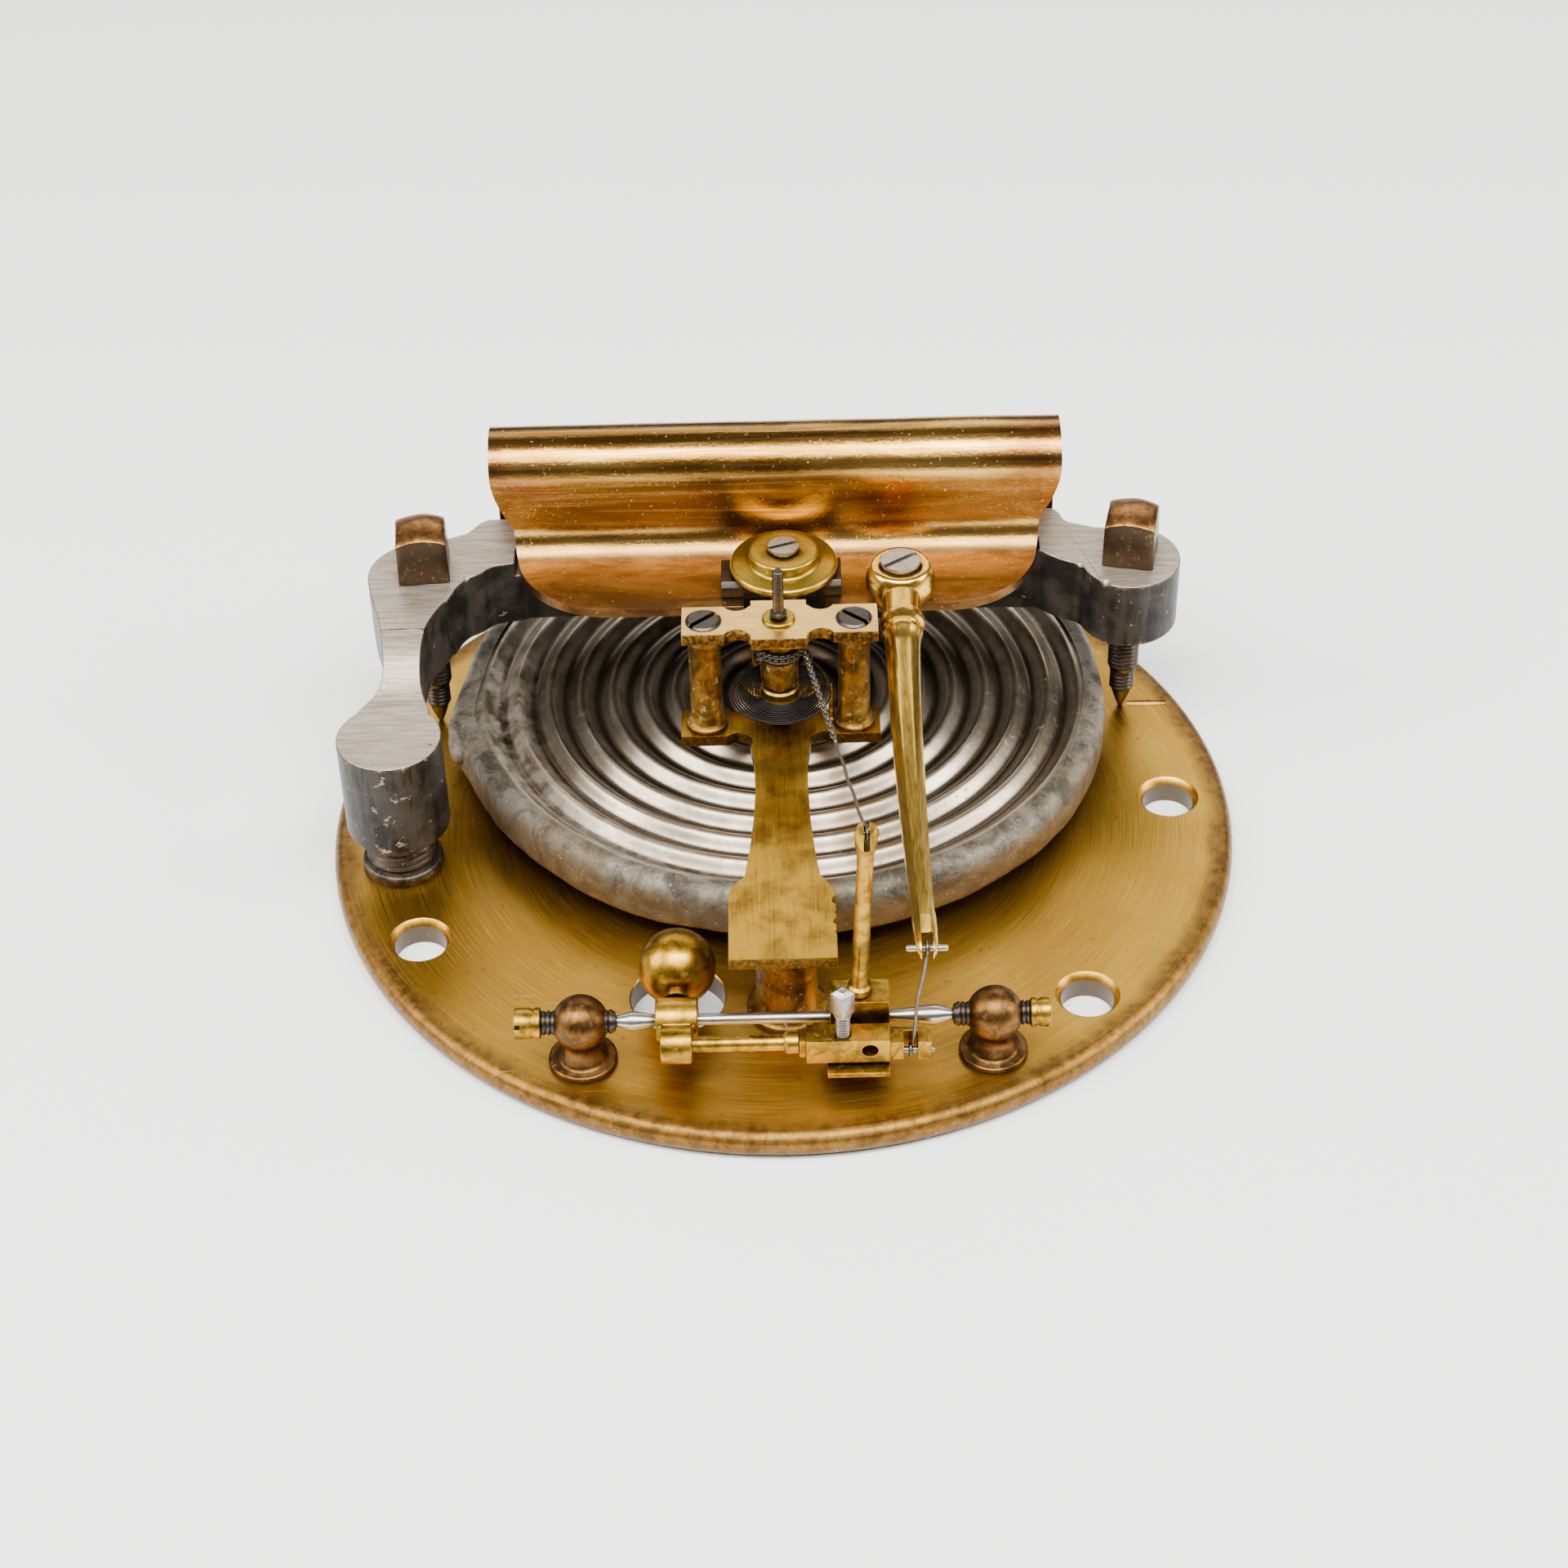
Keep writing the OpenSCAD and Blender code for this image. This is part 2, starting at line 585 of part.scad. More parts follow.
module cock_screws() color([0.25, 0.24, 0.24]) {
  for (s = [-1, 1]) difference() {
    union() {
      up_cyl(s * pillar_x, 0, 25, cock_top - 0.9, 0.9);
      up_cone(s * pillar_x, 0, cock_top - 1, cock_top, 0.9, 1.9);
      up_cone(s * pillar_x, 0, cock_top - eps, cock_top + 0.25, 1.9, 1.6);
    }
    translate([s * pillar_x, 0, cock_top - 0.35]) rotate([0, 0, s * -40])
      translate([-3, -0.25, 0]) cube([6, 0.5, 1]);
  }
}

module arbor_bushing() color([0.78, 0.63, 0.34]) {
  difference() {
    union() {
      up_cyl(0, 0, cock_low, cock_top + eps, 1.2);
      up_cone(0, 0, cock_top, cock_top + 0.4, 1.85, 1.65);
    }
    up_cyl(0, 0, 28, 31, arbor_r + run);
  }
}

module arbor() color([0.3, 0.29, 0.28]) {
  up_cyl(0, 0, 14.8, arbor_top - 0.3, arbor_r);
  up_cone(0, 0, arbor_top - 0.3, arbor_top, arbor_r, arbor_r - 0.2);
  up_cyl(0, 0, 30.6, 31.1, 0.9);
  up_cyl(0, 0, 16.3, 16.8, 1);
}

module chain_drum() color([0.45, 0.35, 0.2]) {
  difference() {
    rotate_extrude($fn = 36) polygon([[0, 21.3], [1.7, 21.3], [1.7, 22], [drum_r, 22.2],
      [drum_r, 26.4], [drum_r - 0.25, 26.55], [drum_r - 0.25, 27.45], [drum_r, 27.6],
      [drum_r, 28.1], [drum_r - 0.25, 28.35], [0, 28.35]]);
    up_cyl(0, 0, 20, 30, arbor_r);
  }
}

module hairspring_collet() color([0.6, 0.48, 0.26]) {
  difference() {
    up_cyl(0, 0, 19.2, 21.3, 2.1);
    up_cyl(0, 0, 18, 22, arbor_r);
  }
}

module hairspring() color([0.13, 0.14, 0.18]) {
  r0 = 2.28;
  r1 = 5.3;
  steps = 26;
  n = hair_turns * steps;
  half = 0.055;
  translate([0, 0, 19.7]) linear_extrude(0.9) polygon(concat(
    [for (i = [0:n]) (hr(i, n, r0, r1) + half) * [cos(360 * i / steps), sin(360 * i / steps)]],
    [for (i = [n:-1:0]) (hr(i, n, r0, r1) - half) * [cos(360 * i / steps), sin(360 * i / steps)]]));
}

module hairspring_stud() color([0.62, 0.5, 0.28]) {
  up_cyl(5.52, 0, arm_top, 21, 0.26);
}

base_plate();
capsule_lower_shell();
capsule_diaphragm();
capsule_seal();
capsule_foot();
capsule_sleeve();
bridge();
bridge_foot();
spring_clamp_plate();
spring_clamp_screws();
arm_post();
pillar_arm();
cock_pillars();
cock_plate();
cock_screws();
arbor_bushing();
hairspring();
hairspring_stud();
pivot_post_left();
pivot_post_right();
pivot_screw_left();
pivot_screw_right();
bridge_screw_left();
bridge_screw_right();
main_spring();
knife_edge_bar();
thrust_disc();
disc_screw();
capsule_stud();
main_lever();
lever_screw();
lever_pin();
wire_link();
rocker_shaft();
shaft_block();
upright_rod();
rod_pin();
twin_boss();
counterweight();
parallel_rod();
adjusting_bar();
crank_pin();
range_screw();
chain();
arbor();
chain_drum();
hairspring_collet();
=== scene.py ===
"""Aneroid barometer movement: the finished pieces and their metals, over the CAD frame."""
import json
import math
import bpy
import bmesh
from mathutils import Matrix, Vector, noise


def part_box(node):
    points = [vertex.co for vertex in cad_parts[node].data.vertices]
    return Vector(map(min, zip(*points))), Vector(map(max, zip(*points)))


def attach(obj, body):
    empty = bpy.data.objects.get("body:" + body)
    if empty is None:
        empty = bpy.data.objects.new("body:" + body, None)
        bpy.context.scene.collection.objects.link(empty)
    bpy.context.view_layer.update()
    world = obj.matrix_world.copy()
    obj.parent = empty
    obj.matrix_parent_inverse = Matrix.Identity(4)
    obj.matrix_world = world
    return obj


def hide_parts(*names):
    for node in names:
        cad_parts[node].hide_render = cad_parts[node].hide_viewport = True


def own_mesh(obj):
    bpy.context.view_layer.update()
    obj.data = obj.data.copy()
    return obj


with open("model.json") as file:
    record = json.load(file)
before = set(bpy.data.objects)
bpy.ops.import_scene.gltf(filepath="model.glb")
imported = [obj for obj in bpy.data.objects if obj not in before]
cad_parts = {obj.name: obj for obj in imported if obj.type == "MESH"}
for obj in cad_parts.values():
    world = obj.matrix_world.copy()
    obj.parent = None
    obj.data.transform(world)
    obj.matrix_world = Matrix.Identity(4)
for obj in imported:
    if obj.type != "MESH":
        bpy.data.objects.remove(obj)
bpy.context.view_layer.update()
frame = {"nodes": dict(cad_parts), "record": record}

MM = 0.001
TAU = 2 * math.pi
X = Vector((1, 0, 0))
Y = Vector((0, 1, 0))
Z = Vector((0, 0, 1))


# ---------- measures from the frame, in millimetres ----------
def low(node):
    """The low corner of a CAD node's box."""
    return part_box(node)[0] / MM


def high(node):
    """The high corner of a CAD node's box."""
    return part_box(node)[1] / MM


def middle(node):
    """The middle of a CAD node's box."""
    return (low(node) + high(node)) / 2


ROOT = "frame_assembly"
PLATE_R = high("base_plate").x
PLATE_TOP = high("base_plate").z
CAPSULE = middle("capsule_diaphragm")
CAPSULE_R = high("capsule_diaphragm").x - CAPSULE.x
CAPSULE_TOP = high("capsule_diaphragm").z
CAPSULE_BOTTOM = low("capsule_lower_shell").z
RING_CREST = 33.6
RING_PITCH = 3.6
# the capsule's rim was sealed at a point: its direction, and its reach as a share of the radius
SEAL_WAY = Matrix.Rotation(math.radians(188), 2) @ Vector((1, 0))
SEAL_REACH = 1.05
BRIDGE_TOP = high("bridge").z
SHAFT = middle("rocker_shaft")
DISC = middle("thrust_disc")
LEVER_TIP = middle("lever_pin")
# places on the mainspring's side view, as (y, z)
CREST_R = 4.4
CREST = Vector((24.4, high("main_spring").z - CREST_R - 0.1))
BEND_R = 3.3
BEND = Vector((CREST.x - CREST_R - BEND_R, 28.3))


# ---------- camera ----------
CAMERA_PLACE = Vector((0, -261.99, 229.95)) * MM
CAMERA_AIM = Vector((0.199, 3.522, 4.013)) * MM
CAMERA_ROLL = -0.0220741
CAMERA_LENS = 71.15


def set_camera():
    """Looks down on the front of the movement from about 40 degrees."""
    camera = bpy.data.objects.new("camera", bpy.data.cameras.new("camera"))
    bpy.context.scene.collection.objects.link(camera)
    forward = (CAMERA_AIM - CAMERA_PLACE).normalized()
    right = forward.cross(Z).normalized()
    up = right.cross(forward)
    turn = Matrix((right, up, -forward)).transposed().to_4x4()
    roll = Matrix.Rotation(CAMERA_ROLL, 4, "Z")
    camera.matrix_world = Matrix.Translation(CAMERA_PLACE) @ turn @ roll
    camera.data.sensor_width = 36
    camera.data.lens = CAMERA_LENS
    camera.data.clip_start = 0.01
    bpy.context.scene.camera = camera


# ---------- light and floor ----------
# name: place and aim in millimetres, size in metres, power in watts, colour
LIGHTS = {
    "overhead": ((0, -165, 480), (0, 0, 0), (0.6, 0.13), 6.0, (1, 1, 1)),
    "back_window": ((0, 400, 340), (0, 0, 0), (0.7, 0.22), 1.3, (1, 1, 1)),
    "left_window": ((-420, -60, 300), (0, 0, 10), (0.25, 0.3), 3.0, (1, 0.97, 0.93)),
    "right_window": ((430, -30, 260), (0, 0, 10), (0.2, 0.3), 2.4, (1, 0.98, 0.95)),
    "front_strip": ((0, -300, 420), (0, 0, 10), (0.5, 0.08), 1.8, (1, 1, 1)),
}
SKY_COLOUR = (1.0, 0.97, 0.93, 1)
SKY_STRENGTH = 0.13
FLOOR_COLOUR = (0.94, 0.94, 0.93, 1)


def area_light(name, place, aim, size, power, colour):
    """A soft rectangular lamp at place, turned towards aim."""
    data = bpy.data.lights.new(name, "AREA")
    data.shape = "RECTANGLE"
    data.size, data.size_y = size
    data.energy = power
    data.color = colour
    lamp = bpy.data.objects.new(name, data)
    bpy.context.scene.collection.objects.link(lamp)
    lamp.location = Vector(place) * MM
    way = Vector(aim) * MM - lamp.location
    lamp.rotation_euler = way.to_track_quat("-Z", "Y").to_euler()


def set_light():
    """A dim warm sky and the studio lamps."""
    world = bpy.data.worlds.new("studio")
    bpy.context.scene.world = world
    world.use_nodes = True
    sky = world.node_tree.nodes["Background"]
    sky.inputs["Color"].default_value = SKY_COLOUR
    sky.inputs["Strength"].default_value = SKY_STRENGTH
    for name, settings in LIGHTS.items():
        area_light(name, *settings)


def set_floor():
    """A plain pale floor a hair below the plate."""
    bm = bmesh.new()
    bmesh.ops.create_grid(bm, x_segments=1, y_segments=1, size=1500 * MM)
    mesh = bpy.data.meshes.new("floor")
    bm.to_mesh(mesh)
    bm.free()
    floor = bpy.data.objects.new("floor", mesh)
    floor.location.z = -0.05 * MM
    bpy.context.scene.collection.objects.link(floor)
    paint = bpy.data.materials.new("floor_paint")
    paint.use_nodes = True
    shader = paint.node_tree.nodes["Principled BSDF"]
    shader.inputs["Base Color"].default_value = FLOOR_COLOUR
    shader.inputs["Roughness"].default_value = 0.8
    mesh.materials.append(paint)


# ---------- material building blocks ----------
class Finish:
    """A procedural material under construction. Lengths are in millimetres of the object."""

    def __init__(self, name, centre=(0, 0, 0)):
        self.material = bpy.data.materials.new(name)
        self.material.use_nodes = True
        self.tree = self.material.node_tree
        self.shader = self.tree.nodes["Principled BSDF"]
        coords = self.node("ShaderNodeTexCoord")
        place = self.node("ShaderNodeMapping")
        place.inputs["Location"].default_value = [-c for c in centre]
        place.inputs["Scale"].default_value = (1000, 1000, 1000)
        self.link(coords.outputs["Object"], place.inputs["Vector"])
        self.place = place.outputs["Vector"]
        self.normal = None

    def node(self, kind, **values):
        """A new shader node with its settings."""
        made = self.tree.nodes.new(kind)
        for key, value in values.items():
            setattr(made, key, value)
        return made

    def link(self, start, end):
        """Joins an output socket to an input socket."""
        self.tree.links.new(start, end)

    def feed(self, socket, value):
        """Gives a socket another node's output, or a plain value."""
        if hasattr(value, "is_output"):
            self.link(value, socket)
        else:
            socket.default_value = value

    def math(self, operation, a, b=0.0, clamp=False):
        """One sum on two outputs or numbers."""
        made = self.node("ShaderNodeMath", operation=operation, use_clamp=clamp)
        self.feed(made.inputs[0], a)
        self.feed(made.inputs[1], b)
        return made.outputs[0]

    def stretched(self, scale, turn=0.0):
        """The object's coordinates turned about Z and scaled per axis, for marks with a grain."""
        made = self.node("ShaderNodeMapping")
        made.inputs["Scale"].default_value = scale
        made.inputs["Rotation"].default_value[2] = turn
        self.link(self.place, made.inputs["Vector"])
        return made.outputs["Vector"]

    def noise(self, size, detail=4.0, rough=0.55, warp=0.0, vector=None):
        """Cloudy pattern whose blotches are about size millimetres across."""
        made = self.node("ShaderNodeTexNoise")
        made.inputs["Scale"].default_value = 1.0 / size
        made.inputs["Detail"].default_value = detail
        made.inputs["Roughness"].default_value = rough
        made.inputs["Distortion"].default_value = warp
        self.link(vector or self.place, made.inputs["Vector"])
        return made.outputs["Fac"]

    def band(self, value, start, end):
        """0 below start, 1 above end, smooth between."""
        made = self.node("ShaderNodeMapRange", interpolation_type="SMOOTHSTEP")
        made.inputs["From Min"].default_value = start
        made.inputs["From Max"].default_value = end
        self.link(value, made.inputs["Value"])
        return made.outputs["Result"]

    def mix(self, share, a, b):
        """Colour a where share is 0, colour b where it is 1."""
        made = self.node("ShaderNodeMix", data_type="RGBA", blend_type="MIX")
        self.feed(made.inputs["Factor"], share)
        self.feed(made.inputs["A"], (*a, 1) if isinstance(a, tuple) else a)
        self.feed(made.inputs["B"], (*b, 1) if isinstance(b, tuple) else b)
        return made.outputs["Result"]

    def split(self, vector=None):
        """The X, Y and Z of a vector, or of the object's coordinates in millimetres."""
        made = self.node("ShaderNodeSeparateXYZ")
        self.link(vector or self.place, made.inputs[0])
        return made.outputs

    def join(self, x, y, z):
        """A vector from its three parts."""
        made = self.node("ShaderNodeCombineXYZ")
        for socket, value in zip(made.inputs, (x, y, z)):
            self.feed(socket, value)
        return made.outputs[0]

    def around(self, ring=8.0, sweep=2.0):
        """Coordinates for marks that run in circles round the centre's Z axis."""
        x, y, z = self.split()
        flat = self.join(x, y, 0.0)
        length = self.node("ShaderNodeVectorMath", operation="LENGTH")
        self.link(flat, length.inputs[0])
        self.radius = length.outputs["Value"]
        angle = self.math("ARCTAN2", y, x)
        out = self.math("MULTIPLY", self.radius, ring)
        round_about = self.math("MULTIPLY", angle, sweep)
        return self.join(out, round_about, z)

    def bump(self, height, depth, strength):
        """Relief of about depth millimetres, on top of the relief so far."""
        made = self.node("ShaderNodeBump")
        made.inputs["Strength"].default_value = strength
        made.inputs["Distance"].default_value = depth * MM
        self.link(height, made.inputs["Height"])
        if self.normal is not None:
            self.link(self.normal, made.inputs["Normal"])
        self.normal = made.outputs["Normal"]

    def edge(self, width):
        """1 on edges and corners, 0 on flats."""
        soft = self.node("ShaderNodeBevel", samples=4)
        soft.inputs["Radius"].default_value = width * MM
        face = self.node("ShaderNodeNewGeometry")
        dot = self.node("ShaderNodeVectorMath", operation="DOT_PRODUCT")
        self.link(soft.outputs["Normal"], dot.inputs[0])
        self.link(face.outputs["Normal"], dot.inputs[1])
        return self.math("SUBTRACT", 1.0, dot.outputs["Value"], clamp=True)

    def hollow(self, width):
        """1 in crevices, corners and under other parts, 0 in the open: where painted shade goes."""
        made = self.node("ShaderNodeAmbientOcclusion", samples=4)
        made.inputs["Distance"].default_value = width * MM
        return self.math("SUBTRACT", 1.0, made.outputs["AO"], clamp=True)

    def level(self, start, end):
        """0 to 1 as the Z of the face's normal goes from start to end."""
        face = self.node("ShaderNodeNewGeometry")
        return self.band(self.split(face.outputs["Normal"])[2], start, end)

    def done(self, colour, rough, metal=1.0, coat=0.0, gloss=0.5):
        """Joins the finished patterns to the shader."""
        self.feed(self.shader.inputs["Base Color"], colour)
        self.feed(self.shader.inputs["Roughness"], rough)
        self.feed(self.shader.inputs["Metallic"], metal)
        self.shader.inputs["Coat Weight"].default_value = coat
        self.shader.inputs["Specular IOR Level"].default_value = gloss
        self.shader.inputs["Coat Roughness"].default_value = 0.25
        if self.normal is not None:
            self.link(self.normal, self.shader.inputs["Normal"])
        return self.material


# ---------- the metals ----------
def plate_brass():
    """Lacquered golden brass, brushed in circles, brown along its rolled rim."""
    f = Finish("plate_brass")
    circles = f.noise(1.0, 4, 0.65, 0.0, f.around(7.0, 4.0))
    sweep = f.noise(24, 3, 0.5, 0.6)
    spots = f.noise(1.5, 6, 0.7)
    gold = f.mix(f.band(sweep, 0.34, 0.68), (0.40, 0.200, 0.014), (0.55, 0.300, 0.030))
    gold = f.mix(f.math("MULTIPLY", f.band(circles, 0.45, 0.72), 0.55), gold, (0.76, 0.46, 0.08))
    gold = f.mix(f.math("MULTIPLY", f.band(circles, 0.46, 0.30), 0.45), gold, (0.26, 0.125, 0.01))
    rim = f.math("ADD", f.band(f.radius, 43.5, 49.6), f.math("MULTIPLY", f.noise(5, 6, 0.7), 0.75))
    rim = f.band(rim, 0.88, 1.40)
    brown = f.mix(f.band(f.noise(1.1, 5, 0.65), 0.35, 0.65), (0.055, 0.023, 0.007), (0.22, 0.10, 0.022))
    stain = f.math("MULTIPLY", f.band(spots, 0.60, 0.70), 0.6)
    colour = f.mix(f.math("MAXIMUM", f.math("MULTIPLY", rim, 0.85), stain), gold, brown)
    cloud = f.math("MULTIPLY", f.band(f.noise(7, 5, 0.6, 0.5), 0.55, 0.72), 0.4)
    colour = f.mix(cloud, colour, (0.34, 0.20, 0.045))
    colour = f.mix(f.math("MULTIPLY", f.edge(0.5), 0.6, True), colour, (0.62, 0.37, 0.08))
    # Painted shade: near black on the plate under and around the parts that stand on it.
    colour = f.mix(f.math("MULTIPLY", f.hollow(5.0), 0.8), colour, (0.055, 0.024, 0.004))
    # Painted shade on the walls of the holes: dark, and not metallic there.
    face = f.node("ShaderNodeNewGeometry")
    level = f.math("ABSOLUTE", f.split(face.outputs["True Normal"])[2])
    wall = f.band(level, 0.45, 0.2)
    wall = f.math("MULTIPLY", wall, f.band(f.radius, 48.0, 47.0))
    colour = f.mix(f.math("MULTIPLY", wall, 0.9), colour, (0.045, 0.030, 0.016))
    scratches = f.noise(1.0, 2, 0.4, 0.0, f.stretched((0.12, 5.0, 1), 0.7))
    colour = f.mix(f.math("MULTIPLY", f.band(scratches, 0.74, 0.80), 0.5), colour, (0.95, 0.72, 0.30))
    dust = f.band(f.noise(0.45, 2, 0.5), 0.72, 0.77)
    colour = f.mix(f.math("MULTIPLY", dust, 0.45), colour, (0.62, 0.50, 0.28))
    rough = f.math("ADD", 0.25, f.math("MULTIPLY", circles, 0.2))
    rough = f.math("ADD", rough, f.math("MULTIPLY", rim, 0.12))
    f.bump(circles, 0.03, 0.9)
    f.bump(f.noise(0.8, 5, 0.6), 0.02, 0.4)
    # The painted shade on the hole walls also takes the metal away.
    metal = f.math("SUBTRACT", 1.0, f.math("MULTIPLY", wall, 0.9))
    return f.done(colour, rough, metal, 0.12)


def golden(name, tone, dark, rough_base, grain=(1, 0.04, 1), wear=1.0, patina=0.35, sides=0.0):
    """Brushed brass: tone where bright, dark in its tarnish, with painted shade in its hollows and on its
    upright sides.
    """
    f = Finish(name)
    lines = f.noise(0.25, 4, 0.65, 0.0, f.stretched(grain))
    cloud = f.noise(4.5, 5, 0.6, 0.4)
    colour = f.mix(f.math("MULTIPLY", f.band(cloud, 0.42, 0.70), patina), tone, dark)
    bright = (min(1.0, tone[0] * 1.2), min(1.0, tone[1] * 1.3), min(1.0, tone[2] * 1.9))
    colour = f.mix(f.math("MULTIPLY", f.band(lines, 0.5, 0.72), 0.55), colour, bright)
    colour = f.mix(f.math("MULTIPLY", f.band(lines, 0.48, 0.30), 0.5), colour, dark)
    # Painted shade: upright faces darkened towards near black, with a fine noise in it.
    if sides:
        upright = f.level(0.7, 0.3)
        painted_side_shade = f.mix(f.band(f.noise(0.4, 5, 0.7), 0.4, 0.62), (0.03, 0.018, 0.007), dark)
        colour = f.mix(f.math("MULTIPLY", upright, sides), colour, painted_side_shade)
    colour = f.mix(f.math("MULTIPLY", f.edge(0.15), 1.8 * wear, True), colour, bright)
    # Painted shade in crevices and corners.
    colour = f.mix(f.math("MULTIPLY", f.hollow(1.5), 0.85), colour, tuple(c * 0.25 for c in dark))
    specks = f.band(f.noise(0.35, 2, 0.5), 0.68, 0.74)
    colour = f.mix(f.math("MULTIPLY", specks, 0.5), colour, dark)
    rough = f.math("ADD", rough_base, f.math("MULTIPLY", lines, 0.16))
    f.bump(lines, 0.012, 0.8)
    f.bump(f.noise(0.9, 4, 0.6), 0.012, 0.35)
    return f.done(colour, rough)


def tarnished(name, tone, crust, rough_base=0.36, crusty=0.5, shade=0.3, sides=0.0):
    """Old brass or bronze with brown patina and pale deposits."""
    f = Finish(name)
    cloud = f.noise(2.2, 6, 0.65, 0.5)
    fine = f.noise(0.3, 4, 0.6)
    colour = f.mix(f.band(cloud, 0.36, 0.64), tuple(c * shade for c in tone), tone)
    # Painted shade: upright faces darkened to a dark brown.
    if sides:
        upright = f.level(0.6, 0.3)
        colour = f.mix(f.math("MULTIPLY", upright, sides), colour, (0.05, 0.036, 0.024))
    worn = (min(1.0, tone[0] * 1.7), min(1.0, tone[1] * 1.8), min(1.0, tone[2] * 2.4))
    colour = f.mix(f.math("MULTIPLY", f.edge(0.2), 1.6, True), colour, worn)
    # Painted shade: near black in crevices and corners.
    colour = f.mix(f.math("MULTIPLY", f.hollow(1.4), 0.95), colour, (0.022, 0.012, 0.005))
    scale = f.math("MULTIPLY", f.band(f.noise(0.7, 5, 0.75), 0.57, 0.68), crusty)
    colour = f.mix(scale, colour, crust)
    rough = f.math("ADD", rough_base, f.math("MULTIPLY", fine, 0.18))
    rough = f.math("ADD", rough, f.math("MULTIPLY", scale, 0.3))
    f.bump(fine, 0.012, 0.6)
    f.bump(scale, 0.03, 0.6)
    return f.done(colour, rough, f.math("SUBTRACT", 1.0, f.math("MULTIPLY", scale, 0.6)))


def steel(name, tone, rough_base, rust=0.15, grain=(1, 1, 1)):
    """Bare steel with fine draw marks and a little brown bloom."""
    f = Finish(name)
    lines = f.noise(0.22, 3, 0.6, 0.0, f.stretched(grain))
    cloud = f.noise(1.6, 5, 0.65, 0.4)
    colour = f.mix(f.band(lines, 0.3, 0.7), tuple(c * 0.6 for c in tone), tone)
    colour = f.mix(f.math("MULTIPLY", f.band(cloud, 0.48, 0.66), rust), colour, (0.15, 0.07, 0.025))
    worn = tuple(min(1, c * 1.5) for c in tone)
    colour = f.mix(f.math("MULTIPLY", f.edge(0.15), 1.4, True), colour, worn)
    # Painted shade: near black in crevices and corners.
    colour = f.mix(f.math("MULTIPLY", f.hollow(1.0), 0.85), colour, (0.015, 0.011, 0.008))
    rough = f.math("ADD", rough_base, f.math("MULTIPLY", cloud, 0.2))
    f.bump(lines, 0.008, 0.6)
    return f.done(colour, rough)


def capsule_metal(crest, pitch):
    """Tinned diaphragm: shiny warm rings with painted shade in their valleys, dusty at the left, pitted grey
    rim.
    """
    f = Finish("capsule_metal", CAPSULE)
    f.around()
    blotch = f.noise(7, 6, 0.62, 0.6)
    pits = f.noise(0.6, 6, 0.7)
    phase = f.math("MULTIPLY", f.math("SUBTRACT", crest, f.radius), TAU / pitch)
    # Painted shade: dark colour in the troughs between the rings.
    painted_valley_shade = f.band(f.math("COSINE", phase), -0.35, -0.95)
    satin = f.mix(f.band(blotch, 0.4, 0.66), (0.36, 0.29, 0.21), (0.53, 0.445, 0.345))
    satin = f.mix(f.math("MULTIPLY", painted_valley_shade, 0.85), satin, (0.085, 0.064, 0.043))
    x, y, z = f.split()
    leftward = f.math("SUBTRACT", f.math("MULTIPLY", x, -1.0), f.math("MULTIPLY", y, 0.4))
    leftward = f.band(leftward, 2, 30)
    outer = f.band(f.radius, 26, 33.5)
    frost = f.math("MULTIPLY", leftward, outer)
    frost = f.math("MULTIPLY", frost, f.band(f.noise(2.2, 5, 0.6), 0.36, 0.66))
    satin = f.mix(f.math("MULTIPLY", frost, 0.4), satin, (0.30, 0.265, 0.22))
    soot = f.band(f.noise(1.0, 6, 0.75, 0.4), 0.56, 0.66)
    soot = f.math("MULTIPLY", soot, f.band(f.radius, 12, 30))
    satin = f.mix(f.math("MULTIPLY", soot, 0.25), satin, (0.07, 0.055, 0.04))
    lead = f.mix(f.band(f.noise(3.4, 7, 0.7, 0.5), 0.36, 0.62), (0.055, 0.045, 0.032), (0.19, 0.163, 0.122))
    lead = f.mix(f.math("MULTIPLY", f.band(pits, 0.56, 0.66), 0.75), lead, (0.06, 0.045, 0.03))
    low_rim = f.band(z, 1.0, -3.0)
    warm = f.math("ADD", low_rim, f.band(f.noise(9, 3, 0.5), 0.52, 0.7), True)
    warm = f.math("MULTIPLY", warm, 0.6)
    lead = f.mix(warm, lead, (0.11, 0.066, 0.022))
    rim = f.band(f.radius, 33.2, 34.4)
    colour = f.mix(rim, satin, lead)
    dust = f.math("MULTIPLY", f.band(f.noise(0.35, 3, 0.6), 0.66, 0.72), f.band(f.radius, 16, 30))
    colour = f.mix(f.math("MULTIPLY", dust, 0.6), colour, (0.62, 0.57, 0.50))
    rough = f.math("ADD", 0.27, f.math("MULTIPLY", rim, 0.2))
    rough = f.math("ADD", rough, f.math("MULTIPLY", f.math("MAXIMUM", frost, soot), 0.2))
    rough = f.math("ADD", rough, f.math("MULTIPLY", f.noise(0.6, 4, 0.6), 0.08))
    pitted = f.math("ADD", f.math("MULTIPLY", rim, 0.95), 0.015)
    f.bump(f.math("MULTIPLY", pits, pitted), 0.12, 0.6)
    f.bump(f.noise(6, 3, 0.5), 0.5, 0.2)
    matt = f.math("MAXIMUM", f.math("MULTIPLY", frost, 0.3), f.math("MULTIPLY", rim, 0.35))
    return f.done(colour, rough, f.math("SUBTRACT", 1.0, matt))


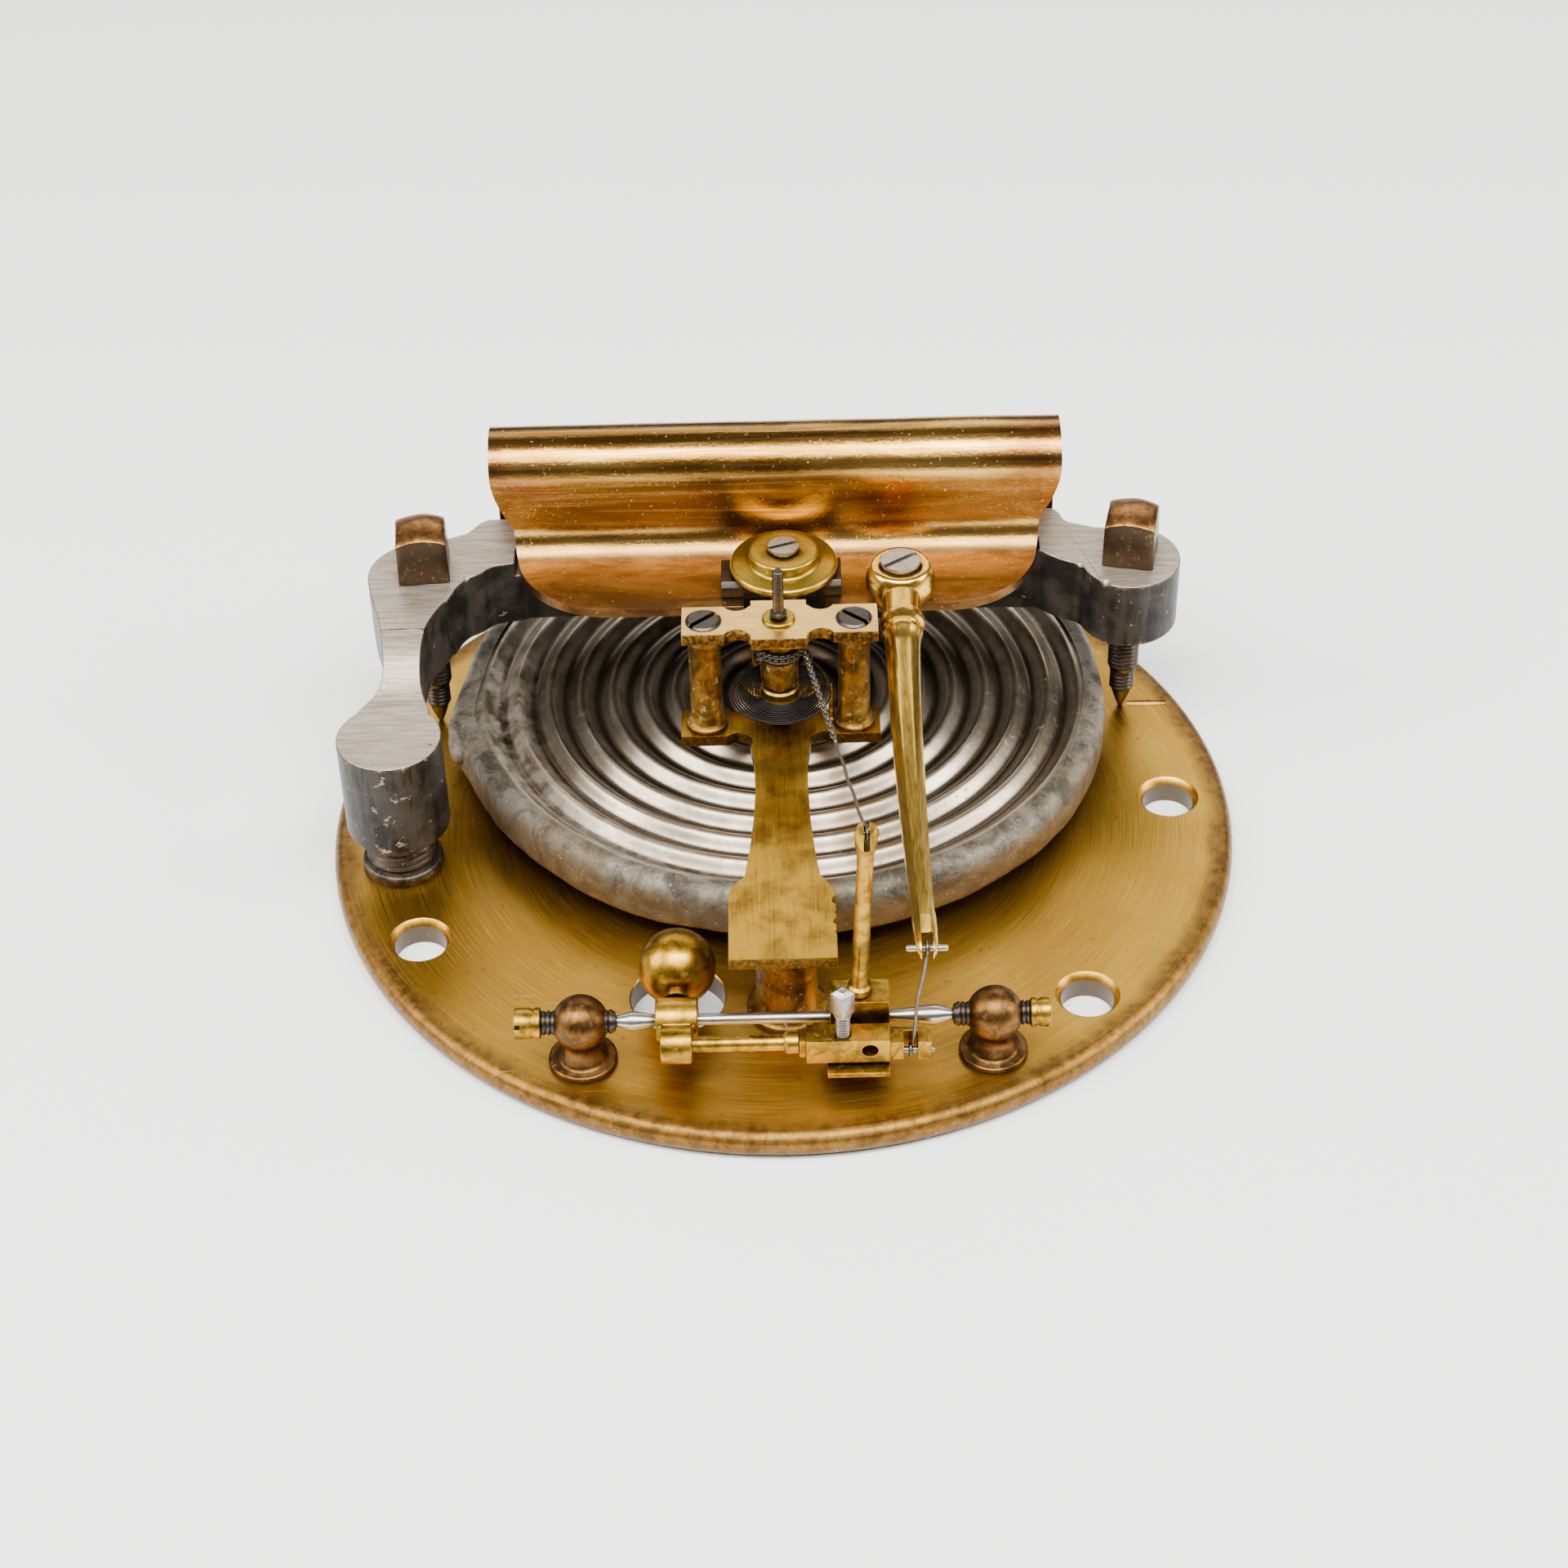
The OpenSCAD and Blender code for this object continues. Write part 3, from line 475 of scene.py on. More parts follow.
def bridge_iron():
    """Cast iron: black paint worn off its edges on the sides, bare scratched metal on top."""
    f = Finish("bridge_iron")
    top = f.level(0.62, 0.86)
    scratches = f.noise(0.5, 4, 0.65, 0.0, f.stretched((0.12, 1.6, 1), 0.35))
    cross = f.noise(0.6, 3, 0.65, 0.0, f.stretched((1.5, 0.12, 1), 0.5))
    bare = f.mix(f.band(scratches, 0.35, 0.68), (0.31, 0.25, 0.19), (0.49, 0.41, 0.325))
    bare = f.mix(f.math("MULTIPLY", f.band(cross, 0.60, 0.72), 0.5), bare, (0.26, 0.215, 0.175))
    pits = f.band(f.noise(0.8, 4, 0.7), 0.66, 0.72)
    bare = f.mix(f.math("MULTIPLY", pits, 0.8), bare, (0.06, 0.04, 0.03))
    chips = f.noise(1.6, 6, 0.72, 0.3)
    paint = f.mix(f.band(f.noise(3, 5, 0.6), 0.4, 0.65), (0.007, 0.006, 0.005), (0.030, 0.025, 0.021))
    streak = f.noise(1.2, 4, 0.6, 0.0, f.stretched((1, 1, 0.15)))
    x = f.split()[0]
    ends = f.band(f.math("ABSOLUTE", x), 34, 42)
    grey = f.math("MULTIPLY", f.band(streak, 0.45, 0.62), f.math("MULTIPLY", ends, 0.8))
    paint = f.mix(grey, paint, (0.042, 0.035, 0.029))
    worn = f.math("ADD", chips, f.math("MULTIPLY", f.edge(0.7), 0.45))
    worn = f.math("ADD", worn, f.math("MULTIPLY", ends, 0.06))
    gone = f.band(worn, 0.665, 0.70)
    rust = f.mix(f.noise(0.8, 4, 0.6), (0.22, 0.12, 0.05), (0.42, 0.31, 0.20))
    side = f.mix(gone, paint, rust)
    colour = f.mix(top, side, bare)
    rough = f.mix(top, (0.36, 0.36, 0.36), (0.42, 0.42, 0.42))
    metal = f.math("MAXIMUM", f.math("MULTIPLY", top, 0.75), f.math("MULTIPLY", gone, 0.4))
    f.bump(scratches, 0.012, 0.5)
    f.bump(f.math("MULTIPLY", gone, -1.0), 0.06, 0.7)
    f.bump(f.noise(0.9, 5, 0.6), 0.06, 0.4)
    return f.done(colour, rough, metal, gloss=0.16)


def spring_copper():
    """Polished spring steel tempered to a copper bronze, with fine lengthwise streaks and dust."""
    f = Finish("spring_copper")
    x, _, z = f.split()
    streaks = f.noise(0.8, 5, 0.65, 0.0, f.stretched((0.03, 1.3, 1.3)))
    cloud = f.noise(9, 4, 0.6, 0.8, f.stretched((0.3, 1, 1)))
    temper = f.mix(f.band(cloud, 0.36, 0.66), (0.27, 0.130, 0.020), (0.70, 0.40, 0.085))
    temper = f.mix(f.math("MULTIPLY", f.band(streaks, 0.46, 0.70), 0.5), temper, (0.92, 0.58, 0.22))
    across = f.math("ABSOLUTE", x)
    burnt = f.math("MULTIPLY", f.band(across, 20, 31), f.band(f.noise(6, 4, 0.6), 0.35, 0.65))
    temper = f.mix(f.math("MULTIPLY", burnt, 0.75), temper, (0.24, 0.075, 0.028))
    flat = f.band(z, 26.6, 25.1)
    satin = f.mix(f.band(f.noise(3.5, 6, 0.7, 0.5, f.stretched((0.35, 1, 1))), 0.38, 0.64),
                  (0.075, 0.036, 0.013), (0.23, 0.125, 0.046))
    temper = f.mix(f.math("MULTIPLY", flat, 0.9), temper, satin)
    dots = f.band(f.noise(0.42, 4, 0.65), 0.65, 0.71)
    colour = f.mix(f.math("MULTIPLY", dots, 0.6), temper, (0.95, 0.78, 0.50))
    colour = f.mix(f.math("MULTIPLY", f.edge(0.25), 1.4, True), colour, (0.40, 0.17, 0.10))
    rough = f.math("ADD", 0.15, f.math("MULTIPLY", streaks, 0.12))
    rough = f.math("ADD", rough, f.math("MULTIPLY", flat, 0.16))
    rough = f.math("ADD", rough, f.math("MULTIPLY", dots, 0.3))
    f.bump(streaks, 0.02, 0.5)
    f.bump(f.noise(0.45, 4, 0.65), 0.035, 0.8)
    f.bump(cloud, 0.35, 0.2)
    return f.done(colour, rough)


# The sides argument of golden and tarnished sets the painted shade on upright faces.
METALS = {
    "plate_brass": plate_brass(),
    "capsule_metal": capsule_metal(RING_CREST, RING_PITCH),
    "bridge_iron": bridge_iron(),
    "spring_copper": spring_copper(),
    "cock_gold": golden("cock_gold", (0.78, 0.49, 0.13), (0.34, 0.18, 0.03), 0.24, (0.05, 1, 1),
                        sides=0.95),
    "arm_brass": golden("arm_brass", (0.54, 0.30, 0.030), (0.15, 0.065, 0.006), 0.27, (1, 0.035, 1),
                        wear=0.8, patina=0.8, sides=0.95),
    "lever_gold": golden("lever_gold", (0.84, 0.52, 0.085), (0.42, 0.19, 0.02), 0.15, (1, 0.03, 1)),
    "disc_brass": golden("disc_brass", (0.42, 0.27, 0.030), (0.14, 0.08, 0.010), 0.26, (1, 1, 1)),
    "rocker_brass": tarnished("rocker_brass", (0.54, 0.30, 0.028), (0.40, 0.30, 0.17), 0.26, 0.3),
    "ball_brass": tarnished("ball_brass", (0.50, 0.27, 0.022), (0.26, 0.18, 0.09), 0.22, 0.3, 0.45),
    "post_bronze": tarnished("post_bronze", (0.20, 0.095, 0.028), (0.20, 0.13, 0.07), 0.28, 0.35),
    "pillar_brass": tarnished("pillar_brass", (0.34, 0.17, 0.024), (0.50, 0.40, 0.26), 0.34, 0.75),
    "head_bronze": tarnished("head_bronze", (0.40, 0.18, 0.050), (0.40, 0.27, 0.15), 0.26, 0.3, 0.35, 0.97),
    "foot_metal": tarnished("foot_metal", (0.12, 0.095, 0.07), (0.30, 0.22, 0.13), 0.38, 0.5),
    "bright_steel": steel("bright_steel", (0.46, 0.42, 0.375), 0.24, 0.3),
    "shaft_steel": steel("shaft_steel", (0.60, 0.56, 0.51), 0.20, 0.3, (0.05, 1, 1)),
    "wire_steel": steel("wire_steel", (0.20, 0.175, 0.15), 0.30, 0.5),
    "dark_steel": steel("dark_steel", (0.085, 0.072, 0.062), 0.26, 0.35),
    "blued_steel": steel("blued_steel", (0.045, 0.042, 0.045), 0.24, 0.2),
}


# ---------- shape building blocks ----------
def arc(across, along, radius, start, end, steps=8):
    """Points on a round stretch of an outline, angles in degrees."""
    angles = [math.radians(start + (end - start) * i / steps) for i in range(steps + 1)]
    return [(across + radius * math.cos(a), along + radius * math.sin(a)) for a in angles]


def threads(radius, start, end, pitch=0.5, depth=0.16):
    """Outline of a screw thread between two heights."""
    count = max(1, round((end - start) / pitch))
    step = (end - start) / count
    points = []
    for i in range(count):
        points += [(radius - depth, start + i * step), (radius, start + (i + 0.45) * step),
                   (radius, start + (i + 0.6) * step)]
    return points + [(radius - depth, end)]


def to_axis(bm, axis, place):
    """Turns a shape made along Z to the axis, and moves it to its place."""
    turn = Z.rotation_difference(Vector(axis)).to_matrix()
    bmesh.ops.rotate(bm, cent=(0, 0, 0), matrix=turn, verts=bm.verts)
    bmesh.ops.translate(bm, vec=Vector(place), verts=bm.verts)
    return bm


def turned(profile, place=(0, 0, 0), axis=Z, steps=64):
    """A lathe shape: the outline's (radius, height) points spun round an axis."""
    bm = bmesh.new()
    verts = [bm.verts.new((r, 0, h)) for r, h in profile]
    edges = [bm.edges.new(pair) for pair in zip(verts, verts[1:])]
    bmesh.ops.spin(bm, geom=verts + edges, cent=(0, 0, 0), axis=Z, angle=TAU, steps=steps,
                   use_merge=True)
    bmesh.ops.remove_doubles(bm, verts=bm.verts, dist=1e-4)
    bmesh.ops.recalc_face_normals(bm, faces=bm.faces)
    return to_axis(bm, axis, place)


def soften(bm, width, segments=2, sharp=32):
    """Rounds every edge whose faces meet at more than sharp degrees."""
    crisp = [e for e in bm.edges if e.is_manifold and e.calc_face_angle(0) > math.radians(sharp)]
    bmesh.ops.bevel(bm, geom=crisp, offset=width, offset_type="OFFSET", segments=segments,
                    profile=0.5, affect="EDGES", material=-1, clamp_overlap=False)
    return bm


def box_shape(size, place, bevel=0.0, segments=3):
    """A rectangular block, with rounded edges if bevel is given, standing on its place."""
    bm = bmesh.new()
    bmesh.ops.create_cube(bm, size=1)
    bmesh.ops.scale(bm, vec=size, verts=bm.verts)
    bmesh.ops.translate(bm, vec=(0, 0, size[2] / 2), verts=bm.verts)
    if bevel:
        soften(bm, bevel, segments)
    bmesh.ops.translate(bm, vec=place, verts=bm.verts)
    return bm


def joined(*parts):
    """Several shapes kept side by side in one."""
    whole = bmesh.new()
    for part in parts:
        mesh = bpy.data.meshes.new("part")
        part.to_mesh(mesh)
        whole.from_mesh(mesh)
        bpy.data.meshes.remove(mesh)
        part.free()
    return whole


def as_object(bm, name):
    """A scene object with the shape as its mesh."""
    mesh = bpy.data.meshes.new(name)
    bm.to_mesh(mesh)
    bm.free()
    made = bpy.data.objects.new(name, mesh)
    bpy.context.scene.collection.objects.link(made)
    return made


def baked(made):
    """The object's finished mesh as a bmesh; the object itself goes."""
    bpy.context.view_layer.update()
    graph = bpy.context.evaluated_depsgraph_get()
    mesh = bpy.data.meshes.new_from_object(made.evaluated_get(graph))
    bm = bmesh.new()
    bm.from_mesh(mesh)
    bpy.data.meshes.remove(mesh)
    bpy.data.objects.remove(made)
    return bm


def combined(how, bm, others, solver="EXACT"):
    """Adds the other shapes to bm, or takes them out of it."""
    body = as_object(bm, "blank")
    tools = [as_object(c, "tool") for c in others]
    for tool in tools:
        step = body.modifiers.new(how, "BOOLEAN")
        step.operation, step.solver, step.object = how, solver, tool
    result = baked(body)
    for tool in tools:
        bpy.data.objects.remove(tool)
    return result


def cut(bm, *cutters):
    """The shape with the cutters taken out of it."""
    return combined("DIFFERENCE", bm, cutters)


def rounded(points, times=2):
    """A closed outline with its corners cut over and over."""
    for _ in range(times):
        pairs = zip(points, points[1:] + points[:1])
        points = [(a[0] * s + b[0] * (1 - s), a[1] * s + b[1] * (1 - s))
                  for a, b in pairs for s in (0.75, 0.25)]
    return points


def slab(outline, start, end, along_x=False):
    """An outline given thickness: XY points along Z, or YZ points along X."""
    bm = bmesh.new()
    corners = [bm.verts.new((start, a, b) if along_x else (a, b, start)) for a, b in outline]
    face = bm.faces.new(corners)
    grown = bmesh.ops.extrude_face_region(bm, geom=[face])["geom"]
    far = [v for v in grown if isinstance(v, bmesh.types.BMVert)]
    bmesh.ops.translate(bm, vec=(X if along_x else Z) * (end - start), verts=far)
    bmesh.ops.holes_fill(bm, edges=bm.edges, sides=0)
    bmesh.ops.recalc_face_normals(bm, faces=bm.faces)
    return bm


def leaf(path, half_width, thickness, columns=72):
    """A bent sheet with its outside on the path's (y, z) points, inside on their left."""
    bm = bmesh.new()
    outside, inside = [], []
    for i, (y, z) in enumerate(path):
        before, after = path[max(0, i - 1)], path[min(len(path) - 1, i + 1)]
        way = Vector((after[0] - before[0], after[1] - before[1])).normalized()
        wide = half_width(y, z)
        xs = [wide * (2 * c / columns - 1) for c in range(columns + 1)]
        outside.append([bm.verts.new((x, y, z)) for x in xs])
        inner = (y - way.y * thickness, z + way.x * thickness)
        inside.append([bm.verts.new((x, *inner)) for x in xs])
    for sheet in (outside, inside):
        for one, two in zip(sheet, sheet[1:]):
            for c in range(columns):
                bm.faces.new((one[c], one[c + 1], two[c + 1], two[c]))
    rims = [(outside[0], inside[0]), (outside[-1], inside[-1])]
    rims += [([row[c] for row in outside], [row[c] for row in inside]) for c in (0, -1)]
    for out, back in rims:
        for i in range(len(out) - 1):
            bm.faces.new((out[i], out[i + 1], back[i + 1], back[i]))
    bmesh.ops.recalc_face_normals(bm, faces=bm.faces)
    return bm


def wire(points, radius, closed=False, flat=0.0, sides=3):
    """A round wire, or a strip of half height flat, along points in millimetres."""
    data = bpy.data.curves.new("wire", "CURVE")
    data.dimensions = "3D"
    data.bevel_depth, data.bevel_resolution, data.extrude = radius, sides, flat
    data.use_fill_caps = True
    line = data.splines.new("POLY")
    line.points.add(len(points) - 1)
    for knot, point in zip(line.points, points):
        knot.co = (*point, 1)
    line.use_cyclic_u = closed
    made = bpy.data.objects.new("wire", data)
    bpy.context.scene.collection.objects.link(made)
    bm = baked(made)
    bmesh.ops.remove_doubles(bm, verts=bm.verts, dist=1e-5)
    bmesh.ops.recalc_face_normals(bm, faces=bm.faces)
    return bm


def roughen(bm, depth, size, keep=lambda co: 1.0):
    """Pushes points in and out a little, as hand work and knocks do."""
    bm.normal_update()
    for v in bm.verts:
        v.co += v.normal * depth * keep(v.co) * noise.noise(v.co / size)
    return bm


def from_cad(node, bevel, segments=2):
    """A finished copy of a CAD node with its corners broken, or left alone where bevel is 0."""
    bm = bmesh.new()
    bm.from_mesh(frame["nodes"][node].data)
    bmesh.ops.scale(bm, vec=(1 / MM,) * 3, verts=bm.verts)
    bmesh.ops.remove_doubles(bm, verts=bm.verts, dist=2e-3)
    bmesh.ops.dissolve_limit(bm, angle_limit=math.radians(1), verts=bm.verts, edges=bm.edges)
    if bevel:
        soften(bm, bevel, segments)
    return bm


def piece(name, bm, metal, body=ROOT, nodes=(), sharp=40, even=False):
    """Makes the finished piece from a bmesh in millimetres, and fixes it to its body."""
    bmesh.ops.scale(bm, vec=(MM,) * 3, verts=bm.verts)
    for face in bm.faces:
        face.smooth = True
    for e in bm.edges:
        e.smooth = not e.is_manifold or e.calc_face_angle(0) < math.radians(sharp)
    made = as_object(bm, name)
    made.data.materials.append(METALS[metal])
    if even:
        step = made.modifiers.new("even_shading", "WEIGHTED_NORMAL")
        step.keep_sharp = True
    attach(made, body)
    if nodes:
        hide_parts(*nodes)
    return made


# ---------- plate ----------
def make_plate():
    """Round plate with a rolled rim, case holes, a hole for the counterweight and a scored line."""
    rim = 1.35
    weight_hole = (-11.4, -29.3, 0)
    flat = [(r, PLATE_TOP) for r in (44, 36, 28, 20, 12, 4)]
    profile = [(0, 0)] + arc(PLATE_R - rim, rim, rim, -90, 0) + \
        arc(PLATE_R - rim, PLATE_TOP - rim, rim, 0, 90) + flat + [(0, PLATE_TOP)]
    plate = turned(profile, steps=240)
    holes = []
    for name in ("case_hole_left", "case_hole_front", "case_hole_right"):
        mount = next(m for m in frame["record"]["mounts"] if m["name"] == name)
        x, y = mount["pos_m"][0] / MM, mount["pos_m"][1] / MM
        r = mount["dims"]["r_mm"]
        wall = [(0, -1), (r, -1), (r, PLATE_TOP - 0.7), (r + 0.08, PLATE_TOP - 0.55)]
        flare = [(r + 0.45, PLATE_TOP - 0.1), (r + 0.75, PLATE_TOP + 0.1), (0, PLATE_TOP + 1)]
        holes.append(turned(wall + flare, (x, y, 0)))
    wall = [(0, -1), (5.05, -1), (4.95, 1), (4.95, PLATE_TOP - 0.15)]
    holes.append(turned(wall + [(5.2, PLATE_TOP + 0.1), (0, PLATE_TOP + 1)], weight_hole, steps=80))
    groove = wire([(40.2, 17.8, PLATE_TOP + 0.15), (42, 17.85, PLATE_TOP + 0.05),
                   (44.8, 17.75, PLATE_TOP + 0.12)], 0.5)
    plate = cut(plate, *holes, groove)
    piece("base_plate_brass", plate, "plate_brass", nodes=("base_plate",), sharp=24, even=True)


# ---------- capsule ----------
def from_capsule(co):
    """The way from the capsule's middle to a point, seen from above."""
    return Vector((co.x - CAPSULE.x, co.y - CAPSULE.y))


def draw_out_point(shell):
    """Runs the rim out to the blunt point where the capsule was sealed."""
    reach = math.acos(1 / SEAL_REACH)
    inner, blunt = 31.5, 0.03
    for v in shell.verts:
        arm = from_capsule(v.co)
        if arm.length > inner:
            off = math.sqrt(arm.angle(SEAL_WAY) ** 2 + blunt ** 2)
            grow = 1 / math.cos(max(0.0, reach - off)) - 1
            share = min(1.0, (arm.length - inner) / 3.5)
            v.co.x += arm.x * grow * share
            v.co.y += arm.y * grow * share


def rim_knocks(co):
    """Full on the capsule's rim, a tenth on its rings."""
    return min(1.0, max(0.1, (from_capsule(co).length - 32.8) / 2))


def make_capsule_shell():
    """Corrugated diaphragm and its thick, knocked rim."""
    wave, first, steps = 0.62, 4.8, 128
    mid = CAPSULE_TOP - 0.35 - wave
    radii = [first + i * (RING_CREST - first) / steps for i in range(steps + 1)]
    rings = [(r, mid + wave * math.cos(TAU * (RING_CREST - r) / RING_PITCH)) for r in radii]
    outer = arc(CAPSULE_R - 2.2, CAPSULE_TOP - 2.15, 2.15, 100, 0, 10)
    outer += arc(CAPSULE_R - 2.0, CAPSULE_BOTTOM + 2.2, 2.0, 0, -80, 10)
    profile = [(0, mid + wave)] + rings + [(34.1, mid + wave * 0.7)] + outer
    profile += [(33.2, CAPSULE_BOTTOM + 0.45), (31.5, CAPSULE_BOTTOM + 0.9)]
    shell = turned(profile, (CAPSULE.x, CAPSULE.y, 0), steps=256)
    draw_out_point(shell)
    roughen(shell, 0.30, 7, rim_knocks)
    roughen(shell, 0.09, 1.7, rim_knocks)
    piece("capsule_top", shell, "capsule_metal", nodes=("capsule_diaphragm",), sharp=75)


def make_capsule_underside():
    """The ringed lower shell."""
    radii = [31.2 - i * 0.25 for i in range(101)]
    rings = [(r, CAPSULE_BOTTOM + 0.55 + 0.5 * math.cos(TAU * (RING_CREST - r) / RING_PITCH)) for r in radii]
    profile = [(31.6, CAPSULE_BOTTOM + 0.95)] + rings + [(0, CAPSULE_BOTTOM + 0.1)]
    under = turned(profile, (CAPSULE.x, CAPSULE.y, 0), steps=128)
    piece("capsule_underside", under, "capsule_metal", nodes=("capsule_lower_shell",), sharp=75)


def make_capsule_seal():
    """The small lump of the pinched-off tube at the rim's point."""
    seal = turned(arc(0, 0, 1.0, -90, 90, 16), steps=32)
    bmesh.ops.scale(seal, vec=(1.5, 4.2, 2.2), verts=seal.verts)
    roughen(seal, 0.35, 1.6)
    tip = Vector((CAPSULE.x, CAPSULE.y)) + SEAL_WAY * (CAPSULE_R * SEAL_REACH - 1.9)
    height = (CAPSULE_TOP + CAPSULE_BOTTOM) / 2 + 0.2
    bmesh.ops.translate(seal, vec=(tip.x, tip.y, height), verts=seal.verts)
    piece("capsule_pinch_off", seal, "capsule_metal", nodes=("capsule_seal",), sharp=80)


def make_capsule_fittings():
    """The foot under the capsule, the sleeve boss in its middle and the stud that lifts the spring."""
    lo, hi = low("capsule_foot"), high("capsule_foot")
    profile = [(0, lo.z), (5.7, lo.z), (6, lo.z + 0.25), (6, hi.z - 0.2), (5.6, hi.z + 0.3), (0, hi.z + 0.3)]
    foot = turned(profile, (CAPSULE.x, CAPSULE.y, 0))
    piece("capsule_foot_disc", foot, "pillar_brass", nodes=("capsule_foot",))
    lo, hi = low("capsule_sleeve"), high("capsule_sleeve")
    profile = [(0, lo.z)] + arc(4.3, lo.z + 0.9, 0.3, -60, 90, 5) + [(3.5, lo.z + 1.4)]
    profile += arc(3.1, hi.z - 0.3, 0.3, 0, 90, 4) + arc(2.6, hi.z - 0.2, 0.2, 90, 180, 3)
    profile += [(2.4, lo.z + 1), (0, lo.z + 0.9)]
    sleeve = turned(profile, (CAPSULE.x, CAPSULE.y, 0))
    piece("capsule_sleeve_boss", sleeve, "pillar_brass", nodes=("capsule_sleeve",))
    lo, hi = low("capsule_stud"), high("capsule_stud")
    profile = [(0, lo.z), (1.3, lo.z), (1.6, lo.z + 0.3)] + threads(1.6, lo.z + 4, hi.z - 2.2, 0.45, 0.14)
    stud = turned(profile + [(1.6, hi.z - 2.1), (1.6, hi.z), (0, hi.z)], (DISC.x, DISC.y, 0), steps=40)
    piece("capsule_lifting_stud", stud, "pillar_brass", "lever_assembly", ("capsule_stud",))


# ---------- bridge and its screws ----------
def bridge_beam(under, left, right):
    """The beam along the back with a round boss for each screw."""
    back, front = 27.2, 19.2
    outline = [(31.0, back), (32.1, 26.3), (32.6, 24.3), (34.1, 23.7)]
    outline += arc(right.x - 0.3, right.y - 0.4, 5.9, 112, -118, 18)
    outline += [(34.6, 13.9), (33.9, 15.8), (31.8, 16.7), (30.1, 18.0), (29.0, front)]
    outline += [(-28.0, front), (-28.8, 18.5), (-32.0, 18.1), (-33.1, 16.6), (-35.2, 15.4)]
    outline += arc(left.x - 0.2, left.y - 0.7, 6.1, -60, -245, 16)
    outline += [(-35.6, 23.9), (-34.4, 25.4), (-33.4, 26.9), (-31.6, back)]
    return slab(rounded(outline), under, BRIDGE_TOP)


def bridge_arm(under):
    """The arm from the left boss to the barrel, arched underneath."""
    outline = [(-45.6, 17), (-45.2, 13.5), (-44.0, 9.5), (-43.2, 5.5), (-42.9, 2.4), (-43.2, 0.4)]
    outline += [(-44.1, -1.0), (-45.4, -2.4), (-46.2, -4.5), (-44, -7), (-40, -7), (-37.4, -4.6)]
    outline += [(-37.7, -2.6), (-38.5, -0.8), (-38.9, 1.2), (-38.9, 4.5), (-38.5, 7.6), (-37.6, 10.2)]
    outline += [(-36.4, 12.4), (-37, 16), (-40, 18)]
    arm = slab(rounded(outline), 12, BRIDGE_TOP)
    hollow = [(-9, 0), (-9, 13.3), (-5, 13.6), (0, 15.2), (4, under), (19, under + 0.01), (19, 0)]
    return combined("DIFFERENCE", arm, [slab(hollow, -50, -30, True)], "MANIFOLD")


def arm_slope(low_top):
    """Cutter that lets the arm's top fall in a smooth curve to the barrel."""
    start, run, skim, steps = 6.8, 9.8, 0.12, 12
    fall = BRIDGE_TOP - low_top - skim
    slope = [(start, BRIDGE_TOP + 1)]
    for i in range(steps + 1):
        share = 0.5 - 0.5 * math.cos(math.pi * i / steps)
        slope.append((start - run * i / steps, BRIDGE_TOP - skim - fall * share))
    slope += [(-14, low_top - 0.02), (-14, BRIDGE_TOP + 1)]
    return slab(slope, -50, -30, True)


def bridge_body():
    """The casting: beam with a boss at each end, and an arm that slopes down to the barrel."""
    under, barrel_top = 16.4, 20.95
    left, right = middle("bridge_screw_left"), middle("bridge_screw_right")
    barrel = Vector((low("bridge").x + 5.6, low("bridge").y + 5.6))
    beam = bridge_beam(under, left, right)
    arm = bridge_arm(under)
    column = [(0, 8.5), (5.0, 8.5), (5.6, 9.1), (5.6, barrel_top), (0, barrel_top)]
    column = turned(column, (*barrel, 0), steps=96)
    slope = arm_slope(barrel_top - 0.05)
    body = combined("UNION", beam, [arm, column], "MANIFOLD")
    flat = math.radians(0.5)
    bmesh.ops.dissolve_limit(body, angle_limit=flat, verts=body.verts, edges=body.edges)
    bore = [(0, 0), (1.85, 0), (1.85, 30), (0, 30)]
    bores = [turned(bore, (screw.x, screw.y, 0), steps=40) for screw in (left, right)]
    knocks = ((33.6, 15.8, BRIDGE_TOP + 0.3), (36.2, 12.4, BRIDGE_TOP + 0.25),
              (-34.4, 15.7, BRIDGE_TOP + 0.3), (-37.4, -3.0, 21.2))
    nicks = [turned(arc(0, 0, 0.6, -90, 90, 6), place, steps=9) for place in knocks]
    relief = box_shape((58.8, 6.4, 3), (0, 18.2, 22.8))
    body = combined("DIFFERENCE", body, [slope, relief] + bores + nicks, "MANIFOLD")
    bmesh.ops.dissolve_limit(body, angle_limit=flat, verts=body.verts, edges=body.edges)
    bmesh.ops.remove_doubles(body, verts=body.verts, dist=0.01)
    return soften(body, 0.2, 3, 40)


def square_head(width, height, rise, turn, place):
    """A square screw head whose top is a low dome with arched edges."""
    bm = bmesh.new()
    bmesh.ops.create_grid(bm, x_segments=8, y_segments=8, size=width / 2)
    for v in bm.verts:
        off = (2 * v.co.x / width) ** 2 + (2 * v.co.y / width) ** 2
        v.co.z = height - 0.5 * rise * off
    grown = bmesh.ops.extrude_face_region(bm, geom=bm.faces[:])["geom"]
    for v in grown:
        if isinstance(v, bmesh.types.BMVert):
            v.co = (v.co.x * 1.05, v.co.y * 1.05, 0)
    bmesh.ops.recalc_face_normals(bm, faces=bm.faces)
    soften(bm, 0.16, 2, 45)
    roughen(bm, 0.10, 1.7)
    turning = Matrix.Rotation(math.radians(turn), 3, "Z")
    bmesh.ops.rotate(bm, cent=(0, 0, 0), matrix=turning, verts=bm.verts)
    bmesh.ops.translate(bm, vec=place, verts=bm.verts)
    return bm


